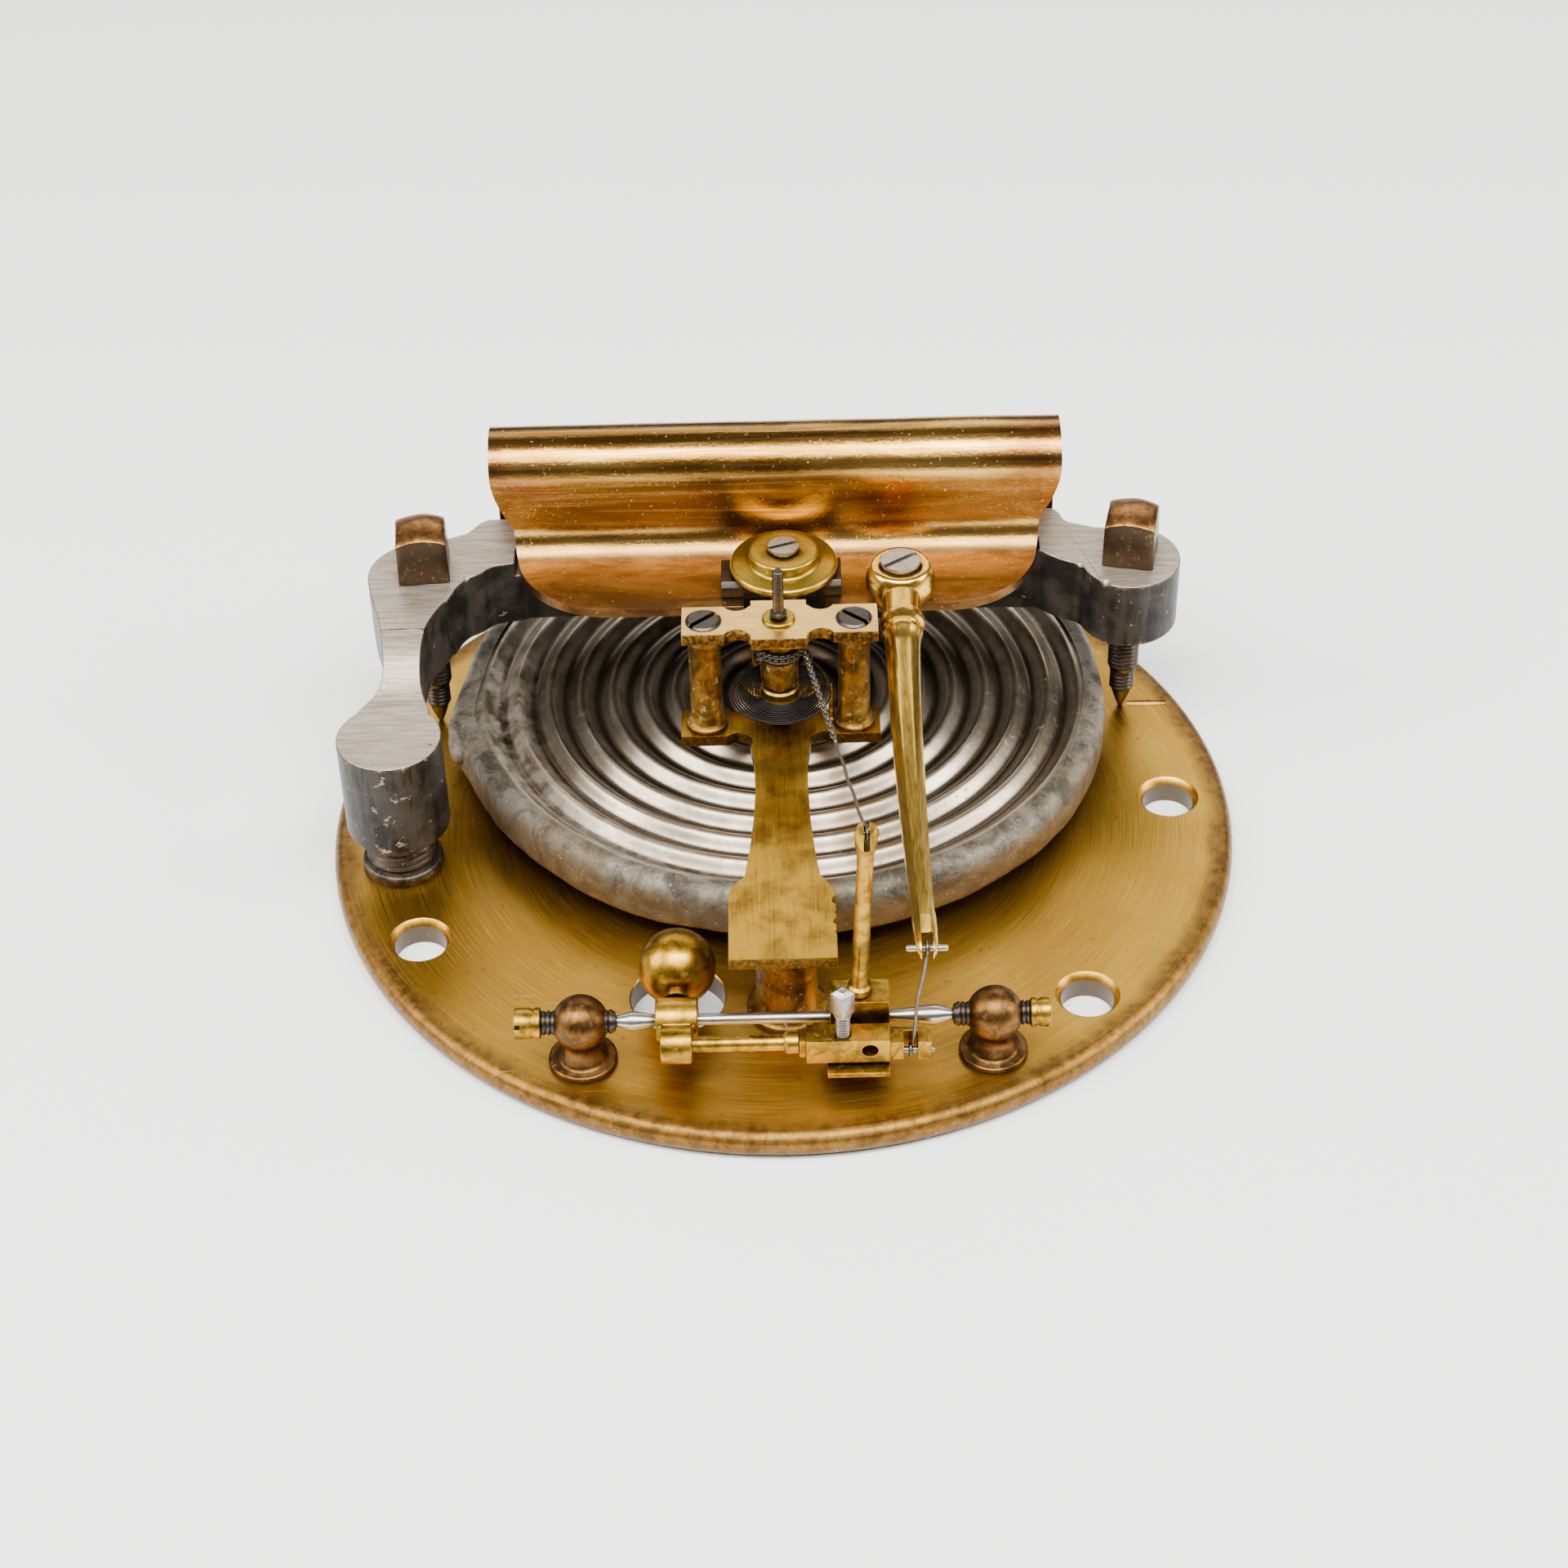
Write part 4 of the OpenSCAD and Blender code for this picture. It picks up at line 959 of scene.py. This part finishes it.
def make_bridge():
    """The casting and the collar its barrel stands on."""
    piece("bridge_casting", bridge_body(), "bridge_iron", nodes=("bridge",), sharp=35, even=True)
    centre, lo, hi = middle("bridge_foot"), low("bridge_foot"), high("bridge_foot")
    profile = [(0, lo.z), (4.4, lo.z)] + arc(4.0, lo.z + 1.0, 0.4, 0, 90, 4)
    profile += threads(3.85, lo.z + 1.6, hi.z, 0.85, 0.35) + [(0, hi.z)]
    foot = turned(profile, (centre.x, centre.y, 0))
    piece("bridge_foot_collar", foot, "foot_metal", nodes=("bridge_foot",), sharp=50)


def make_bridge_screws():
    """The two pointed screws that stand on the plate and carry the beam's ends."""
    for side, turn in (("left", 5), ("right", -12)):
        node = "bridge_screw_" + side
        centre, lo = middle(node), low(node)
        profile = [(0, lo.z), (0.25, lo.z), (0.75, lo.z + 1.3), (1.15, lo.z + 2.6)]
        profile += threads(1.4, lo.z + 2.8, lo.z + 5.4, 0.5, 0.22) + [(1.55, lo.z + 5.7)]
        profile += threads(1.75, lo.z + 6, low("bridge").z + 8.2, 0.55, 0.2)
        profile += [(1.75, BRIDGE_TOP), (0, BRIDGE_TOP)]
        shank = turned(profile, (centre.x, centre.y, 0), steps=40)
        piece(node + "_thread", shank, "dark_steel", "bridge_screw_" + side[0], (node,), sharp=50)
        head = square_head(5.5, 6.3, 1.3, turn, (centre.x, centre.y, BRIDGE_TOP + 0.12))
        piece(node + "_head", head, "head_bronze", "bridge_screw_" + side[0], sharp=45)


# ---------- mainspring ----------
def spring_width(y, z):
    """Half width of the leaf: wide at the crest, narrower down the face, round at the front corners."""
    front, corner, half, face_half = low("main_spring").y, 10.5, 29.0, 29.3
    if z > BEND.y or y > 20.5:
        climb = min(1.0, max(0.0, z - BEND.y) / 7.0) if y < CREST.x else 1.0
        return face_half + 2.3 * climb * (2 - climb)
    into = max(0.0, front + corner - y)
    rounding = math.sqrt(max(0.0, corner ** 2 - into ** 2))
    return half + 0.1 * (z - BEND.y + BEND_R) - corner + rounding


def make_spring():
    """The leaf: up from its clamp, over the crest, down the face and forward over the capsule."""
    leg, face = CREST.x + CREST_R, CREST.x - CREST_R
    front, foot = low("main_spring").y, low("main_spring").z
    path = [(leg, foot + (CREST.y - foot) * i / 12) for i in range(12)]
    path += arc(CREST.x, CREST.y, CREST_R, 0, 180, 32)
    path += [(face, CREST.y - (CREST.y - BEND.y) * i / 14) for i in range(1, 14)]
    path += arc(BEND.x, BEND.y, BEND_R, 0, -90, 14)
    forward = [math.sin(math.pi / 2 * i / 24) for i in range(1, 25)]
    path += [(BEND.x + (front - BEND.x) * share, BEND.y - BEND_R) for share in forward]
    bm = roughen(leaf(path, spring_width, 1.08), 0.10, 9)
    holes = [turned([(0, 26), (1.7, 26), (1.7, 30), (0, 30)], (x, 0, 19), Y) for x in (-20, -7, 7, 20)]
    half, end = 4.5, 14
    slot = [(DISC.x - half, 5)] + arc(DISC.x, end, half, 180, 0, 20) + [(DISC.x + half, 5)]
    bm = combined("DIFFERENCE", bm, [slab(slot, 22.5, 26.5)] + holes, "MANIFOLD")
    piece("mainspring_leaf", bm, "spring_copper", "lever_assembly", ("main_spring",), sharp=50)


def make_spring_fittings():
    """What rides on the leaf, and the plate and screws that clamp its foot."""
    knife = from_cad("knife_edge_bar", 0.1)
    piece("knife_edge", knife, "dark_steel", "lever_assembly", ("knife_edge_bar",), even=True)
    base = low("thrust_disc").z
    profile = [(0, base), (5.3, base)] + arc(5.4, base + 0.55, 0.55, -80, 80, 8)
    profile += [(4.3, base + 1.22), (4.0, base + 1.35), (3.85, base + 1.6), (3.85, base + 2.2)]
    profile += arc(3.45, base + 2.2, 0.4, 0, 90, 5)
    profile += [(2.1, base + 2.62), (1.9, base + 2.5), (1.1, base + 2.5), (1.1, base), (0, base)]
    disc = turned(profile, (DISC.x, DISC.y, 0), steps=96)
    piece("thrust_disc_brass", disc, "disc_brass", "lever_assembly", ("thrust_disc",), sharp=50)
    screw = from_cad("disc_screw", 0.07)
    piece("disc_screw_head", screw, "bright_steel", "lever_assembly", ("disc_screw",), even=True)
    bar = from_cad("spring_clamp_plate", 0.25, 3)
    piece("spring_clamp_bar", bar, "bridge_iron", nodes=("spring_clamp_plate",), even=True)
    heads = from_cad("spring_clamp_screws", 0.12)
    piece("spring_clamp_heads", heads, "dark_steel", nodes=("spring_clamp_screws",), even=True)


# ---------- lever and link ----------
# (distance along the lever, radius, share of octagon)
LEVER_STATIONS = [
    (0, 2.15, 0), (3.2, 2.1, 0), (4.0, 2.12, 0), (4.3, 2.4, 0), (4.8, 2.5, 0), (5.3, 2.4, 0),
    (5.55, 2.05, 0), (6.0, 2.0, 0), (6.4, 2.2, 0), (6.9, 2.2, 0), (7.3, 1.95, 0), (9, 1.85, 0),
    (14, 1.75, 0), (20, 1.68, 0.15), (24, 1.62, 0.9), (30, 1.5, 1), (38, 1.33, 1), (44, 1.2, 1),
    (45.5, 1.18, 1), (47, 1.25, 0.8), (49.5, 1.2, 0.6), (50.9, 1.05, 0.6), (51.35, 0.7, 0.5),
]
LEVER_BOW = -0.45
PIN_R = 0.34


def make_lever_ball():
    """The ball that holds the lever on the spring, with its top turned flat for the screw."""
    head = middle("lever_screw")
    ball_z, ball_r = 27.4, 3.85
    foot = -math.degrees(math.asin(2.4 / ball_r))
    flat = math.degrees(math.asin(2.2 / ball_r))
    profile = [(0, 25)] + arc(0, ball_z, ball_r, foot, flat - 4, 24)
    profile += [(3.05, ball_z + 2.2), (2.45, ball_z + 2.2), (2.3, ball_z + 2.05), (0, ball_z + 2.05)]
    ball = turned(profile, (head.x, head.y, 0), steps=72)
    piece("lever_ball", ball, "lever_gold", "lever_assembly", ("main_lever",), sharp=50)


def octagon_reach(angle):
    """Distance to the side of an octagon of about unit size, at an angle."""
    facet = math.cos((angle + math.pi / 8) % (math.pi / 4) - math.pi / 8)
    return 0.955 / facet


def lever_body(start, end):
    """The tapering arm: round and ringed behind, turning into an octagon towards the tip."""
    bm = bmesh.new()
    length = (end - start).length
    forward = (end - start).normalized()
    side = X - forward * X.dot(forward)
    rise = side.cross(forward)
    count = 48
    loops = []
    for along, radius, eight in LEVER_STATIONS:
        bow = LEVER_BOW * math.sin(math.pi * min(1, along / length))
        centre = start + forward * (along * length / LEVER_STATIONS[-1][0]) + side * bow
        ring = []
        for i in range(count):
            a = TAU * i / count
            reach = radius * ((1 - eight) + eight * octagon_reach(a))
            ring.append(bm.verts.new(centre + side * reach * math.cos(a) + rise * reach * math.sin(a)))
        loops.append([bm.edges.new((ring[i], ring[(i + 1) % count])) for i in range(count)])
    for one, two in zip(loops, loops[1:]):
        bmesh.ops.bridge_loops(bm, edges=one + two)
    bmesh.ops.holes_fill(bm, edges=bm.edges, sides=0)
    bmesh.ops.recalc_face_normals(bm, faces=bm.faces)
    return bm


def make_lever():
    """The lever's arm with its forked tip, its screw and its cross pin."""
    head, tip = middle("lever_screw"), LEVER_TIP
    body = lever_body(Vector((head.x, 8, 27.15)), Vector((tip.x, tip.y - 1.1, tip.z - 0.1)))
    slot = box_shape((1.15, 5.0, 6), (tip.x, tip.y + 0.6, tip.z - 3), bevel=0.05, segments=1)
    hole = turned([(0, -3), (0.36, -3), (0.36, 3), (0, 3)], tip, X, 24)
    piece("lever_arm", cut(body, slot, hole), "lever_gold", "lever_assembly", sharp=33)
    screw = from_cad("lever_screw", 0.08)
    piece("lever_head_screw", screw, "bright_steel", "lever_assembly", ("lever_screw",), even=True)
    lo, hi = low("lever_pin"), high("lever_pin")
    profile = [(0, lo.x), (0.25, lo.x), (PIN_R, lo.x + 0.12), (PIN_R, hi.x - 0.1), (0.22, hi.x), (0, hi.x)]
    pin = turned(profile, (0, tip.y, tip.z), X, 24)
    piece("lever_cross_pin", pin, "bright_steel", "lever_assembly", ("lever_pin",))


def link_eye(centre, radius, start, end):
    """Points round an eye across X, from one angle to another."""
    step = 15 if end > start else -15
    turns = [math.radians(a) for a in range(start, end, step)]
    return [centre + Vector((0, radius * math.sin(a), radius * math.cos(a))) for a in turns]


def make_link():
    """The bent wire that hangs from the lever's pin and turns on the crank pin."""
    crank = middle("crank_pin")
    foot = Vector((12.3, crank.y, crank.z))
    drop = foot - LEVER_TIP
    shank = []
    for s in [0.08 + 0.84 * i / 10 for i in range(11)]:
        bend = Vector((0.10 * math.sin(s * 9), 0.12 * math.sin(s * 5), 0))
        shank.append(LEVER_TIP + drop * s + bend)
    points = link_eye(LEVER_TIP, 0.58, 200, -145) + shank + link_eye(foot, 0.6, 20, 365)
    piece("link_wire", wire(points, 0.2), "wire_steel", "link", ("wire_link",), sharp=60)


# ---------- pivots ----------
def make_pivot_post(side):
    """A turned foot with a ball on it, bored for the pivot screw."""
    post = "pivot_post_" + side
    centre, foot = middle(post), low(post).z
    ball_z = SHAFT.z - 0.05
    profile = [(0, foot), (3.4, foot)] + arc(3.25, foot + 0.35, 0.28, -60, 90, 5)
    profile += [(2.75, foot + 0.75), (2.45, foot + 0.9), (2.35, foot + 1.2), (2.05, foot + 1.8)]
    profile += [(1.88, foot + 2.4)] + arc(0, ball_z, 2.9, -49, 90, 24)
    body = turned(profile, (centre.x, SHAFT.y, 0), steps=56)
    bore = turned([(0, -4), (1.3, -4), (1.3, 4), (0, 4)], (centre.x, SHAFT.y, SHAFT.z), X, 32)
    piece(post + "_ball", cut(body, bore), "post_bronze", nodes=(post,), sharp=50)


def make_pivot_screw(side, away, head_long, head_r):
    """A screw along the shaft's axis, cupped at its tip, with a grooved and slotted knob."""
    screw = "pivot_screw_" + side
    body = "pivot_screw_" + side[0]
    lo, hi = low(screw), high(screw)
    inner, outer = (hi.x, lo.x) if away < 0 else (lo.x, hi.x)
    long = abs(outer - inner)
    neck = long - head_long
    place, axis = (inner, SHAFT.y, SHAFT.z), X * away
    profile = [(0, 0.6), (0.65, 0.5), (0.66, 0), (0.95, 0), (1.1, 0.2)]
    profile += threads(1.27, 0.25, neck, 0.52, 0.17) + [(0, neck)]
    piece(screw + "_thread", turned(profile, place, axis, 32), "dark_steel", body, (screw,), sharp=50)
    profile = [(0, neck - 0.05), (1.25, neck - 0.05)] + arc(head_r - 0.2, neck + 0.2, 0.2, -60, 0, 3)
    profile += [(head_r, neck + 0.6), (head_r - 0.14, neck + 0.75), (head_r - 0.14, neck + 0.9)]
    profile += [(head_r, neck + 1.05)] + arc(head_r - 0.25, long - 0.25, 0.25, 0, 90, 4) + [(0, long)]
    knob = turned(profile, place, axis, 48)
    slot = box_shape((1.3, 6, 0.5), (outer, SHAFT.y, SHAFT.z - 0.25))
    turning = Matrix.Rotation(0.5 * away, 3, "X")
    bmesh.ops.rotate(slot, cent=(outer, SHAFT.y, SHAFT.z), matrix=turning, verts=slot.verts)
    piece(screw + "_knob", cut(knob, slot), "rocker_brass", body, sharp=50)


def make_pivots():
    """Both pivots; the left screw has the longer and thicker knob."""
    make_pivot_post("left")
    make_pivot_screw("left", -1, 2.7, 1.6)
    make_pivot_post("right")
    make_pivot_screw("right", 1, 2.1, 1.5)


# ---------- rocker ----------
def make_shaft():
    """The steel shaft between the pivots, and the brass blocks fixed on it."""
    lo, hi = low("rocker_shaft"), high("rocker_shaft")
    profile = [(0, lo.x), (0.3, lo.x), (0.6, lo.x + 0.5), (0.62, lo.x + 0.9), (1.0, lo.x + 2.0)]
    profile += [(0.98, lo.x + 2.6), (0.66, lo.x + 4.4), (0.6, lo.x + 4.6), (0.6, hi.x - 6.5)]
    profile += [(0.68, hi.x - 5.6), (1.02, hi.x - 3.0), (1.02, hi.x - 2.2), (0.62, hi.x - 0.9)]
    profile += [(0.58, hi.x - 0.5), (0.3, hi.x), (0, hi.x)]
    shaft = turned(profile, (0, SHAFT.y, SHAFT.z), X, 40)
    piece("rocker_shaft_steel", shaft, "shaft_steel", "rocker", ("rocker_shaft",), sharp=50)
    block = from_cad("shaft_block", 0.12)
    piece("shaft_block_brass", block, "rocker_brass", "rocker", ("shaft_block",), even=True)
    boss = from_cad("twin_boss", 0.22, 3)
    piece("twin_boss_brass", boss, "rocker_brass", "rocker", ("twin_boss",), even=True)
    bar = from_cad("adjusting_bar", 0.12)
    piece("adjusting_bar_brass", bar, "rocker_brass", "rocker", ("adjusting_bar",), even=True)


def make_counterweight():
    """The ball on its short neck behind the shaft."""
    corner = high("counterweight")
    r = (corner.x - low("counterweight").x) / 2
    centre = corner - Vector((r, r, r))
    weight = turned(arc(0, 0, r, -90, 90, 36), centre, steps=72)
    profile = [(0, 0), (1.5, 0), (1.5, 0.35), (1.05, 0.55), (0.95, 1.4), (1.2, 2.6), (0, 2.6)]
    neck = turned(profile, (centre.x, SHAFT.y + 2.1, centre.z), Y, 40)
    piece("counterweight_ball", joined(weight, neck), "ball_brass", "rocker", ("counterweight",), sharp=50)


def make_parallel_rod():
    """The brass rod in front of the shaft, and the pin that cranks the link."""
    lo, hi, mid = low("parallel_rod"), high("parallel_rod"), middle("parallel_rod")
    profile = [(0, lo.x), (0.83, lo.x), (0.83, hi.x - 5.2), (0.9, hi.x - 5.0), (0.9, hi.x - 4.7)]
    profile += [(0.83, hi.x - 4.5), (0.83, hi.x - 1.55), (1.1, hi.x - 1.35), (1.15, hi.x - 1.1)]
    profile += [(1.15, hi.x - 0.1), (0, hi.x)]
    rod = turned(profile, (0, mid.y, mid.z), X, 40)
    piece("parallel_rod_brass", rod, "rocker_brass", "rocker", ("parallel_rod",), sharp=50)
    lo, hi, mid = low("crank_pin"), high("crank_pin"), middle("crank_pin")
    profile = [(0, lo.x), (0.35, lo.x), (0.35, hi.x - 0.1), (0.2, hi.x + 0.05), (0, hi.x + 0.05)]
    pin = turned(profile, (0, mid.y, mid.z), X, 24)
    piece("crank_pin_steel", pin, "bright_steel", "rocker", ("crank_pin",))


def make_upright_rod():
    """The rod that stands on the shaft block, forked at its top, and the pin in its fork."""
    pin = middle("rod_pin")
    base = Vector((7.2, SHAFT.y, low("upright_rod").z))
    crown = Vector((pin.x + 0.03, SHAFT.y, high("upright_rod").z - 0.05))
    tall = (crown - base).length
    profile = [(0, 0), (0.85, 0), (0.85, 2.0), (1.15, 2.05), (1.25, 2.4), (1.2, 2.9), (0.9, 3.1)]
    profile += [(0.85, 3.4), (0.82, tall - 5), (0.86, tall - 3.4), (1.12, tall - 2.3)]
    profile += [(1.16, tall - 0.6), (0.9, tall - 0.1), (0.5, tall), (0, tall)]
    rod = turned(profile, base, crown - base, 40)
    slot = box_shape((0.66, 4, 4), (pin.x, SHAFT.y, pin.z - 1.5))
    piece("upright_rod_brass", cut(rod, slot), "rocker_brass", "rocker", ("upright_rod",), sharp=45)
    lo, hi = low("rod_pin"), high("rod_pin")
    profile = [(0, lo.x - 0.1)] + arc(0, lo.x + 0.1, 0.38, -30, 60, 4) + [(0.27, lo.x + 0.5)]
    profile += [(0.27, hi.x - 0.5)] + arc(0, hi.x - 0.1, 0.38, -60, 30, 4) + [(0, hi.x + 0.1)]
    beads = turned(profile, (0, pin.y, pin.z), X, 24)
    piece("rod_fork_pin", beads, "rocker_brass", "rocker", ("rod_pin",))


def make_range_screw():
    """The square-headed screw that sets how far the link's crank stands out."""
    mid, lo, hi = middle("range_screw"), low("range_screw"), high("range_screw")
    head_z = hi.z - 3.2
    profile = [(0, lo.z), (0.5, lo.z)] + threads(0.75, lo.z + 0.2, head_z - 0.2, 0.36, 0.12)
    profile += [(0.95, head_z - 0.15), (0.95, head_z + 0.05), (0, head_z + 0.05)]
    shank = turned(profile, (mid.x, mid.y, 0), steps=28)
    profile = [(0, 0), (1.22, 0), (1.25, 0.25), (1.25, 2.65), (0.55, 3.15), (0, 3.15)]
    head = turned(profile, (mid.x, mid.y, head_z), steps=4)
    soften(head, 0.09, 2)
    screw = joined(shank, head)
    piece("range_screw_steel", screw, "bright_steel", "range_adjuster", ("range_screw",), sharp=50)


# ---------- chain ----------
def loop(centre, along, across, steps):
    """Points round a closed oval in the plane of its two half axes."""
    turns = [TAU * k / steps for k in range(steps)]
    return [centre + along * math.cos(a) + across * math.sin(a) for a in turns]


def make_chain():
    """Eye round the fork's pin, a thin strip, a hook, and links up to the drum."""
    pin = middle("rod_pin")
    end = Vector((high("chain_drum").x + 0.28, 0, 27))
    run = end - pin
    way = run.normalized()
    side = way.cross(Z).normalized()
    rise = side.cross(way)
    first = 0.44 * run.length
    turns = [math.radians(a) for a in range(25, 340, 15)]
    eye = [pin + way * (0.62 * math.cos(a)) + rise * (0.58 * math.sin(a)) for a in turns]
    places = [0.7 + (first - 0.5) * i / 16 for i in range(17)]
    strip = [pin + way * s + side * (0.06 * math.sin(s * 1.1)) for s in places]
    parts = [wire(eye + strip, 0.17)]
    hook = pin + way * (first + 0.35)
    parts.append(wire(loop(hook, way * 0.36, rise * 0.3, 12), 0.13, True, sides=2))
    links = 30
    pitch = (run.length - first - 0.5) / links
    for i in range(links):
        centre = pin + way * (first + 0.6 + pitch * (i + 0.5))
        across = side if i % 2 else rise
        oval = loop(centre, way * (pitch * 0.78), across * 0.24, 12)
        parts.append(wire(oval, 0.115, True, sides=2))
    chain = piece("chain_links", joined(*parts), "wire_steel", "chain_line", ("chain",), sharp=60)
    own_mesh(chain)


def make_chain_on_drum():
    """The turns of chain wound on the drum."""
    turns, per_turn, rise, top = 2.6, 40, 0.62, 27.0
    r = high("chain_drum").x + 0.2
    coil = []
    for i in range(int(turns * per_turn) + 1):
        a = TAU * i / per_turn
        coil.append(Vector((r * math.cos(a), r * math.sin(a), top - rise * i / per_turn)))
    beads = []
    for i, point in enumerate(coil[:-1]):
        ahead = (coil[i + 1] - point).normalized()
        across = Z if i % 2 else Vector((point.x, point.y, 0)).normalized()
        beads.append(wire(loop(point, ahead * 0.27, across * 0.2, 8), 0.1, True, sides=1))
    piece("chain_on_drum", joined(*beads), "wire_steel", "pointer_arbor", sharp=60)


# ---------- pillar arm, cock and arbor ----------
def make_pillar_arm():
    """The short post at the front and the arm on it, with a torn right edge."""
    z0, z1 = low("arm_post").z, high("arm_post").z
    profile = [(0, z0), (4.1, z0)] + arc(4.0, z0 + 0.4, 0.2, -60, 90, 4)
    profile += [(3.7, z0 + 0.9), (3.35, z0 + 1.6), (3.2, z0 + 2.6), (3.2, z1 - 1.2)]
    profile += [(3.35, z1 - 0.7), (3.5, z1 - 0.3), (3.5, z1), (0, z1)]
    post = turned(profile, (0, middle("arm_post").y, 0))
    piece("arm_post_brass", post, "pillar_brass", nodes=("arm_post",), sharp=50)
    edge, top = 5.2, high("pillar_arm").z
    tears = []
    for y, s in ((-27.4, 0.8), (-28.9, 1.3), (-30.7, 0.7), (-32.1, 1.1), (-33.6, 0.6)):
        bite = [(edge + 0.6, y - 0.7 * s), (edge - 0.35 * s, y - 0.3 * s)]
        bite += [(edge - 0.2 * s, y + 0.4 * s), (edge + 0.6, y + 0.8 * s)]
        tears.append(slab(rounded(bite, 1), top - 1.1 - 0.5 * s, top + 1))
    arm = soften(cut(from_cad("pillar_arm", 0), *tears), 0.09, 2)
    piece("pillar_arm_brass", arm, "arm_brass", nodes=("pillar_arm",), even=True)


def make_cock():
    """The two pillars, the plate across them, its screws and the arbor's bushing."""
    foot, top = low("cock_pillars").z, high("cock_pillars").z
    profile = [(0, foot), (2.1, foot)] + arc(2.05, foot + 0.35, 0.2, -60, 90, 5)
    profile += [(1.95, foot + 0.7), (1.8, foot + 0.85), (1.95, foot + 1.05), (1.85, foot + 1.25)]
    profile += [(1.73, foot + 1.5), (1.73, top - 1.3), (1.8, top - 1.15), (1.8, top - 0.95)]
    profile += [(1.73, top - 0.8), (1.73, top), (0, top)]
    pillars = [turned(profile, (x, 0, 0), steps=48) for x in (-8, 8)]
    piece("cock_pillar_pair", joined(*pillars), "pillar_brass", nodes=("cock_pillars",), sharp=50)
    piece("cock_plate_brass", from_cad("cock_plate", 0.11), "cock_gold", nodes=("cock_plate",), even=True)
    piece("cock_screw_pair", from_cad("cock_screws", 0.06), "dark_steel", nodes=("cock_screws",), even=True)
    lo, hi = low("arbor_bushing"), high("arbor_bushing")
    profile = [(0.65, lo.z), (1.2, lo.z), (1.2, 30.0), (1.8, 30.0)] + arc(1.45, hi.z - 0.3, 0.3, 0, 80, 4)
    profile += [(0.95, hi.z - 0.02), (0.65, hi.z - 0.12), (0.65, lo.z)]
    bush = turned(profile, steps=48)
    piece("arbor_bushing_brass", bush, "disc_brass", nodes=("arbor_bushing",), sharp=50)


def make_arbor():
    """The pointer arbor with its chain drum and the hairspring's collet."""
    lo, hi = low("arbor"), high("arbor")
    profile = [(0, lo.z), (0.6, lo.z), (0.6, lo.z + 1.5), (1.0, lo.z + 1.5), (1.0, lo.z + 2.0)]
    profile += [(0.6, lo.z + 2.0), (0.6, 30.55), (0.85, 30.6), (0.9, 30.75), (0.9, 31.0)]
    profile += [(0.6, 31.15), (0.6, hi.z - 0.35)] + arc(0.3, hi.z - 0.3, 0.3, 0, 80, 4) + [(0, hi.z)]
    arbor = turned(profile, steps=32)
    piece("pointer_arbor_steel", arbor, "dark_steel", "pointer_arbor", ("arbor",), sharp=50)
    lo, hi = low("chain_drum"), high("chain_drum")
    profile = [(0, lo.z), (1.6, lo.z), (1.75, lo.z + 0.2), (1.75, lo.z + 0.6), (2.05, lo.z + 0.8)]
    profile += [(2.05, hi.z - 3.2), (1.85, hi.z - 3.1), (1.85, hi.z - 0.6), (2.05, hi.z - 0.5)]
    profile += [(2.05, hi.z - 0.15), (1.9, hi.z), (0, hi.z)]
    drum = turned(profile, steps=56)
    piece("chain_drum_brass", drum, "pillar_brass", "pointer_arbor", ("chain_drum",), sharp=50)
    lo, hi = low("hairspring_collet"), high("hairspring_collet")
    profile = [(0, lo.z), (1.9, lo.z), (2.1, lo.z + 0.2), (2.1, hi.z - 0.2), (1.9, hi.z), (0, hi.z)]
    collet = turned(profile, steps=48)
    piece("hairspring_collet_brass", collet, "disc_brass", "pointer_arbor", ("hairspring_collet",))


def make_hairspring():
    """The flat coil round the collet and the small stud that holds its outer end."""
    level = middle("hairspring").z
    turns, per_turn = 11, 60
    inner, outer = 2.25, 5.4
    spiral = []
    for i in range(turns * per_turn + 1):
        share = i / (turns * per_turn)
        a = TAU * i / per_turn
        led_out = 0.12 * max(0.0, share - 0.995) / 0.005
        r = inner + (outer - inner) * share + led_out
        spiral.append(Vector((r * math.cos(a), r * math.sin(a), level + 0.12 * math.sin(share * 5))))
    coil = wire(spiral, 0.055, flat=0.12, sides=1)
    piece("hairspring_coil", coil, "blued_steel", nodes=("hairspring",), sharp=60)
    mid, lo, hi = middle("hairspring_stud"), low("hairspring_stud"), high("hairspring_stud")
    profile = [(0, lo.z), (0.45, lo.z), (0.45, lo.z + 0.4), (0.27, lo.z + 0.6)]
    profile += [(0.27, hi.z - 0.3), (0.15, hi.z), (0, hi.z)]
    stud = turned(profile, (mid.x, mid.y, 0), steps=24)
    piece("hairspring_stud_brass", stud, "pillar_brass", nodes=("hairspring_stud",))


set_camera()
set_light()
set_floor()
make_plate()
make_capsule_shell()
make_capsule_underside()
make_capsule_seal()
make_capsule_fittings()
make_bridge()
make_bridge_screws()
make_spring()
make_spring_fittings()
make_lever_ball()
make_lever()
make_link()
make_pivots()
make_shaft()
make_counterweight()
make_parallel_rod()
make_upright_rod()
make_range_screw()
make_chain()
make_chain_on_drum()
make_pillar_arm()
make_cock()
make_arbor()
make_hairspring()
